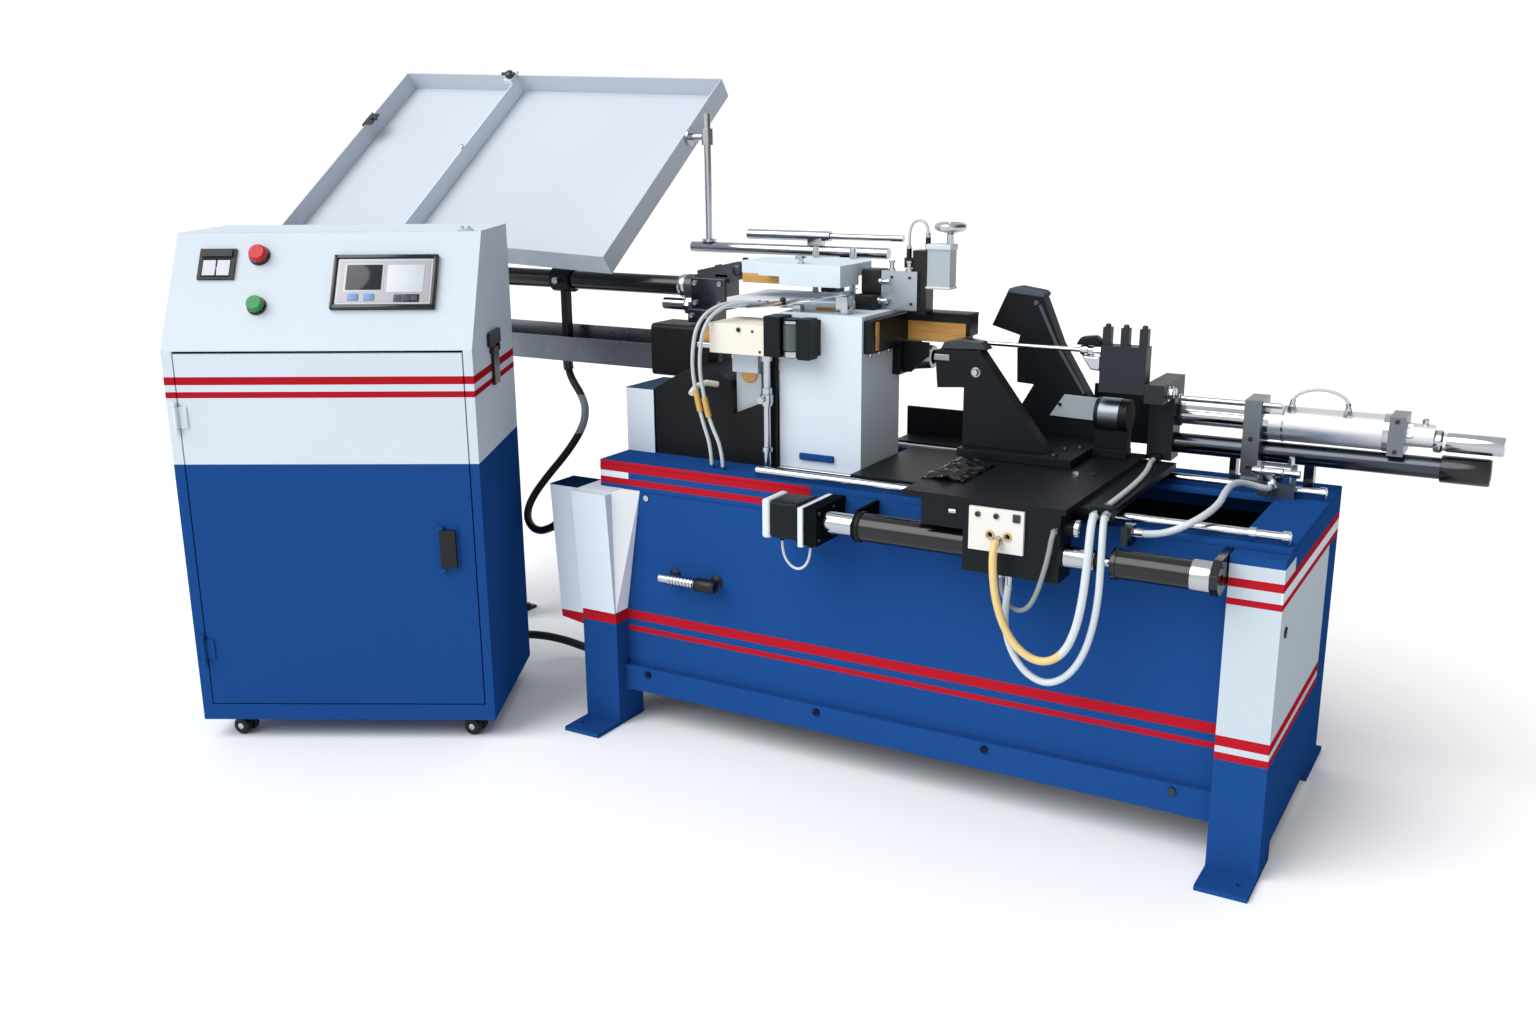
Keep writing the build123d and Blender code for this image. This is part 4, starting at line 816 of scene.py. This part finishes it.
# pull handle on the front panel: bright ribs on its left part, a black grip on the right
handle = {"y": -288, "z": 396, "ribs": np.arange(-556, -486, 9), "grip": (-484, -428)}
handleLine = (0, handle["y"], handle["z"])
rib = np.array([(0, 11.1), (1, 13.2), (5, 13.2), (6, 11.1)])
piece("handleRibs", "chrome", *[turned([*(rib + (x, 0))], handleLine, ring=True) for x in handle["ribs"]])
left, right = handle["grip"]
grip = [(left, 11.1), (left, 14), (left + 4, 16), (right - 8, 16), (right - 2, 13), (right, 8), (right, 0.2)]
piece("handleGrip", "blackPlastic", turned(grip, handleLine, ring=True),
      *[turned([(0, 16), (3, 16), (6, 12)], (x, -252, handle["z"]), toFront, 24) for x in (-565, -449)])

# stand: bolts in the foot plates; bed: lock on the right end
standBolts = [hexHead((x + dx, y, 8), upright, 17, 8) for x in (-1790, -1525) for dx in (-12, 44) for y in (104, 276)]
piece("standBolts", "darkSteel", *standBolts)
endLock = [(0, 11), (3, 11), (5, 9), (5, 3), (3, 2.5)]
piece("endLock", "glossBlack", turned(endLock, (807.5, -248, 494), alongX, 24))
print("headstock and feeder pieces made")

# cords, in mm as in the part: diameter, real length, body, finish, ferrules, route. The ferrules on its ends have a
# finish, a reach along the cord and how far they stand proud of it; the cords of a body stand for one node
cordNodes = {"bed": "machine_cables", "carriage": "carriage_hoses"}
cords = {
    "conduit": (20, 744, "bed", "conduitRubber", ("darkSteel", 30, 3.5), [
        (-1124, 80, 826), (-1124, 80, 804), (-1114, 75, 782), (-1092, 64, 762), (-1056, 46, 738), (-1022, 20, 706),
        (-1009, -15, 664), (-1034, -50, 604), (-1088, -82, 532), (-1117, -110, 478), (-1106, -142, 444),
        (-1066, -172, 426), (-1012, -202, 430), (-962, -226, 450), (-932, -235, 466), (-908, -235, 466)]),
    "floorCable": (22, 553, "bed", "rubber", ("blackPlastic", 34, 4), [
        (-1166.9, -156, 90), (-1186.2, -121, 90), (-1188, -74, 80), (-1159, -28, 66), (-1106, -4, 54),
        (-1036, -6, 46), (-950, -28, 50), (-880, -54, 76), (-828, -72, 104), (-772, -72, 104)]),
    "airLoop": (7, 124, "bed", "clearTube", ("chrome", 10, 2), [
        (-112, 48, 1150), (-112, 48, 1174), (-110, 48, 1197), (-98, 48, 1213), (-79, 48, 1213), (-66, 48, 1197),
        (-66, 48, 1176)]),
    "barrelTube": (7, 148, "bed", "clearTube", ("chrome", 12, 2), [
        (711, 180, 846), (711, 180, 860), (731, 180, 876), (766, 180, 883), (801, 180, 876), (821, 180, 860),
        (821, 180, 846)]),
    "tailHose": (14, 544, "bed", "whiteHose", ("chrome", 24, 2), [
        (520, -275, 655), (548, -275, 655), (590, -290, 668), (630, -280, 690), (652, -236, 704), (656, -176, 709),
        (648, -106, 710), (642, -36, 709), (646, 24, 705), (662, 62, 694), (688, 88, 682), (695, 106, 680),
        (695, 122, 680)]),
    "motorCable": (6, 170, "bed", "palePlastic", ("blackPlastic", 14, 2), [
        (-219, -345, 567), (-219, -345, 541), (-212, -345, 515), (-196, -345, 498), (-177, -345, 494),
        (-159, -345, 507), (-149, -345, 534), (-149, -345, 560)]),
    "creamHose": (16, 634, "carriage", "creamHose", ("chrome", 16, 1.5), [
        (290, -388, 636), (290, -402, 636), (290, -412, 628), (291, -417, 612), (292, -419, 586), (297, -418, 538),
        (310, -414, 486), (334, -412, 442), (370, -410, 414), (408, -408, 412), (440, -406, 440), (458, -404, 490),
        (466, -400, 546), (468, -392, 600), (467, -380, 650), (464, -364, 684), (462, -346, 698), (462, -330, 698)]),
    "whiteHose": (14, 645, "carriage", "whiteHose", ("chrome", 20, 2), [
        (306, -366, 563), (306, -366, 540), (306, -376, 514), (308, -386, 478), (316, -392, 440), (336, -395, 402),
        (364, -396, 374), (402, -396, 362), (442, -395, 384), (470, -392, 430), (486, -390, 490), (493, -389, 552),
        (494, -388, 612), (491, -378, 656), (486, -360, 688), (483, -344, 700), (483, -330, 700)]),
    "greyHose": (10, 318, "carriage", "greyHose", ("chrome", 14, 2), [
        (284, -350, 563), (284, -350, 539), (289, -352, 516), (304, -357, 498), (325, -368, 492), (346, -379, 500),
        (363, -388, 520), (377, -395, 552), (389, -399, 594), (397, -401, 630), (400, -401, 654), (402, -396, 668),
        (402, -387, 672), (402, -380, 672)]),
    "edgeHose": (11, 453, "carriage", "whiteHose", ("chrome", 18, 2), [
        (471, -305, 706), (471, -230, 706), (468, -90, 706), (456, 40, 706), (440, 116, 706), (440, 146, 706)]),
}
airTube = [(-439, -60, 1023.5), (-439, -84, 1023.5), (-456, -114, 1030), (-486, -148, 1028), (-510, -182, 1010),
           (-520, -209, 978), (-527, -214, 930), (-530, -212, 880), (-524, -208, 828), (-510, -206, 766)]
for side, shift, foot, length in (("Left", 0, (-486, -206), 518), ("Right", 20, (-452, -212), 524)):
    route = [*[(x + shift, y, z) for x, y, z in airTube], (*foot, 702), (*foot, bedTop)]
    cords["airTube" + side] = (9, length, "bed", "clearTube", ("chrome", 14, 2), route)
amberSleeves = {"airTubeLeft": (786, 838), "airTubeRight": (770, 822)}  # heights that a sleeve covers


def splineOf(name, points):
    # a smooth spline with the route's own points as its control points
    line = bpy.data.curves.new(name, "CURVE")
    line.dimensions = "3D"
    spline = line.splines.new("NURBS")
    spline.points.add(len(points) - 1)
    spline.points.foreach_set("co", np.column_stack([points, np.ones(len(points))]).ravel())
    spline.order_u = 3
    spline.use_endpoint_u = True
    spline.resolution_u = 10
    return line


def pathOf(line):  # the points that the spline itself goes through, in mm
    bare = bpy.data.objects.new("bare", line)
    mesh = bpy.data.meshes.new_from_object(bare)
    points = np.zeros(3 * len(mesh.vertices))
    mesh.vertices.foreach_get("co", points)
    bpy.data.objects.remove(bare)
    bpy.data.meshes.remove(mesh)
    return 1000 * points.reshape(-1, 3)


def layCord(name, dia, length, body, finish, ferrules, route):
    points = np.array(route, float) / 1000
    line = splineOf(name, points)
    path = pathOf(line)
    along = np.concatenate([[0], np.cumsum(np.linalg.norm(np.diff(path, axis=0), axis=1))])
    metal, reach, proud = ferrules
    ends = [path[along <= reach], path[along >= along[-1] - reach]]
    fittings = [piece(name + "Ferrules", metal, *[bar(run, dia / 2 + proud) for run in ends], body=body)]
    if name in amberSleeves:
        low, high = amberSleeves[name]
        covered = path[(path[:, 2] > low) & (path[:, 2] < high) & (along > 200)]
        fittings.append(piece(name + "Sleeve", "amber", bar(covered, dia / 2 + 2.5), body=body))
    line.bevel_depth = dia / 2000
    line.bevel_resolution = 5
    line.use_fill_caps = True
    line.materials.append(finishes[finish].material)
    cord = placed(name, line)
    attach(cord, body)
    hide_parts(cordNodes[body])


for name, spec in cords.items():
    layCord(name, *spec)
elbow = [(-512, -134, 838), (-528, -158, 844), (-540, -184, 838), (-541, -204, 824)]
piece("tubeElbow", "creamPaint", bar(elbow, 7))
print("cords:", len(cords))

# camera as the photograph has it, and a plain studio
camera = {"place": (1.232, -2.858, 1.400), "right": (0.8619, 0.5070, -0.0084), "down": (0.1251, -0.2286, -0.9655),
          "lens": 32.81, "sensor": 36.0}


def setCamera(spec):
    lens = bpy.data.cameras.new("camera")
    lens.lens = spec["lens"]
    lens.sensor_width = spec["sensor"]
    lens.clip_end = 100
    eye = placed("camera", lens)
    right = Vector(spec["right"]).normalized()
    up = -Vector(spec["down"])
    up = (up - right * up.dot(right)).normalized()
    turn = Matrix((right, up, right.cross(up))).transposed().to_4x4()
    eye.matrix_world = Matrix.Translation(spec["place"]) @ turn
    bpy.context.scene.camera = eye


# sky: white, dimmer between two heights overhead and between two sides of the way it is shaded towards
studio = {"floor": tone(253, 254, 255), "half": 25.0, "sink": 0.0004,
          "overhead": {"between": (0.05, 0.9), "left": 0.72},
          "shade": {"towards": (0.97, 0.24, 0), "between": (0.25, 0.8), "left": 0.14},
          "key": {"from": (-1.6, -3.0, 3.4), "strength": 2.2, "angle": 50}}


def setStudio(spec):
    half = spec["half"]
    ground = bpy.data.meshes.new("floor")
    corners = [(x * half, y * half, -spec["sink"]) for x, y in ((-1, -1), (1, -1), (1, 1), (-1, 1))]
    ground.from_pydata(corners, [], [(0, 1, 2, 3)])
    made = Finish("floorPaint", Base_Color=spec["floor"], Roughness=0.9, Specular_IOR_Level=0.0)
    ground.materials.append(made.material)
    placed("floor", ground)
    sky = bpy.data.worlds.new("studio")
    sky.use_nodes = True
    sky.node_tree.nodes.clear()
    dome = Tree(sky.node_tree)
    where = dome.node("ShaderNodeTexCoord", out="Generated")
    up = dome.node("ShaderNodeSeparateXYZ", None, {0: where}, out=2)
    towards = {0: where, 1: spec["shade"]["towards"]}
    across = dome.node("ShaderNodeVectorMath", {"operation": "DOT_PRODUCT"}, towards, out=1)
    dimmings = []
    for along, dimming in ((up, spec["overhead"]), (across, spec["shade"])):
        low, high = dimming["between"]
        span = {0: along, 1: low, 2: high, 3: 1.0, 4: dimming["left"]}
        dimmings.append(dome.node("ShaderNodeMapRange", {"interpolation_type": "SMOOTHSTEP"}, span))
    glow = dome.node("ShaderNodeBackground", None, {"Strength": dimmings[0] * dimmings[1], "Color": (1, 1, 1, 1)})
    dome.node("ShaderNodeOutputWorld", None, {"Surface": glow})
    bpy.context.scene.world = sky
    key = bpy.data.lights.new("key", "SUN")
    key.energy = spec["key"]["strength"]
    key.angle = math.radians(spec["key"]["angle"])
    aim = -Vector(spec["key"]["from"])
    placed("key", key).matrix_world = aim.to_track_quat("-Z", "Y").to_matrix().to_4x4()


setCamera(camera)
setStudio(studio)
bpy.context.scene.view_settings.view_transform = "Standard"
print("camera and studio set")
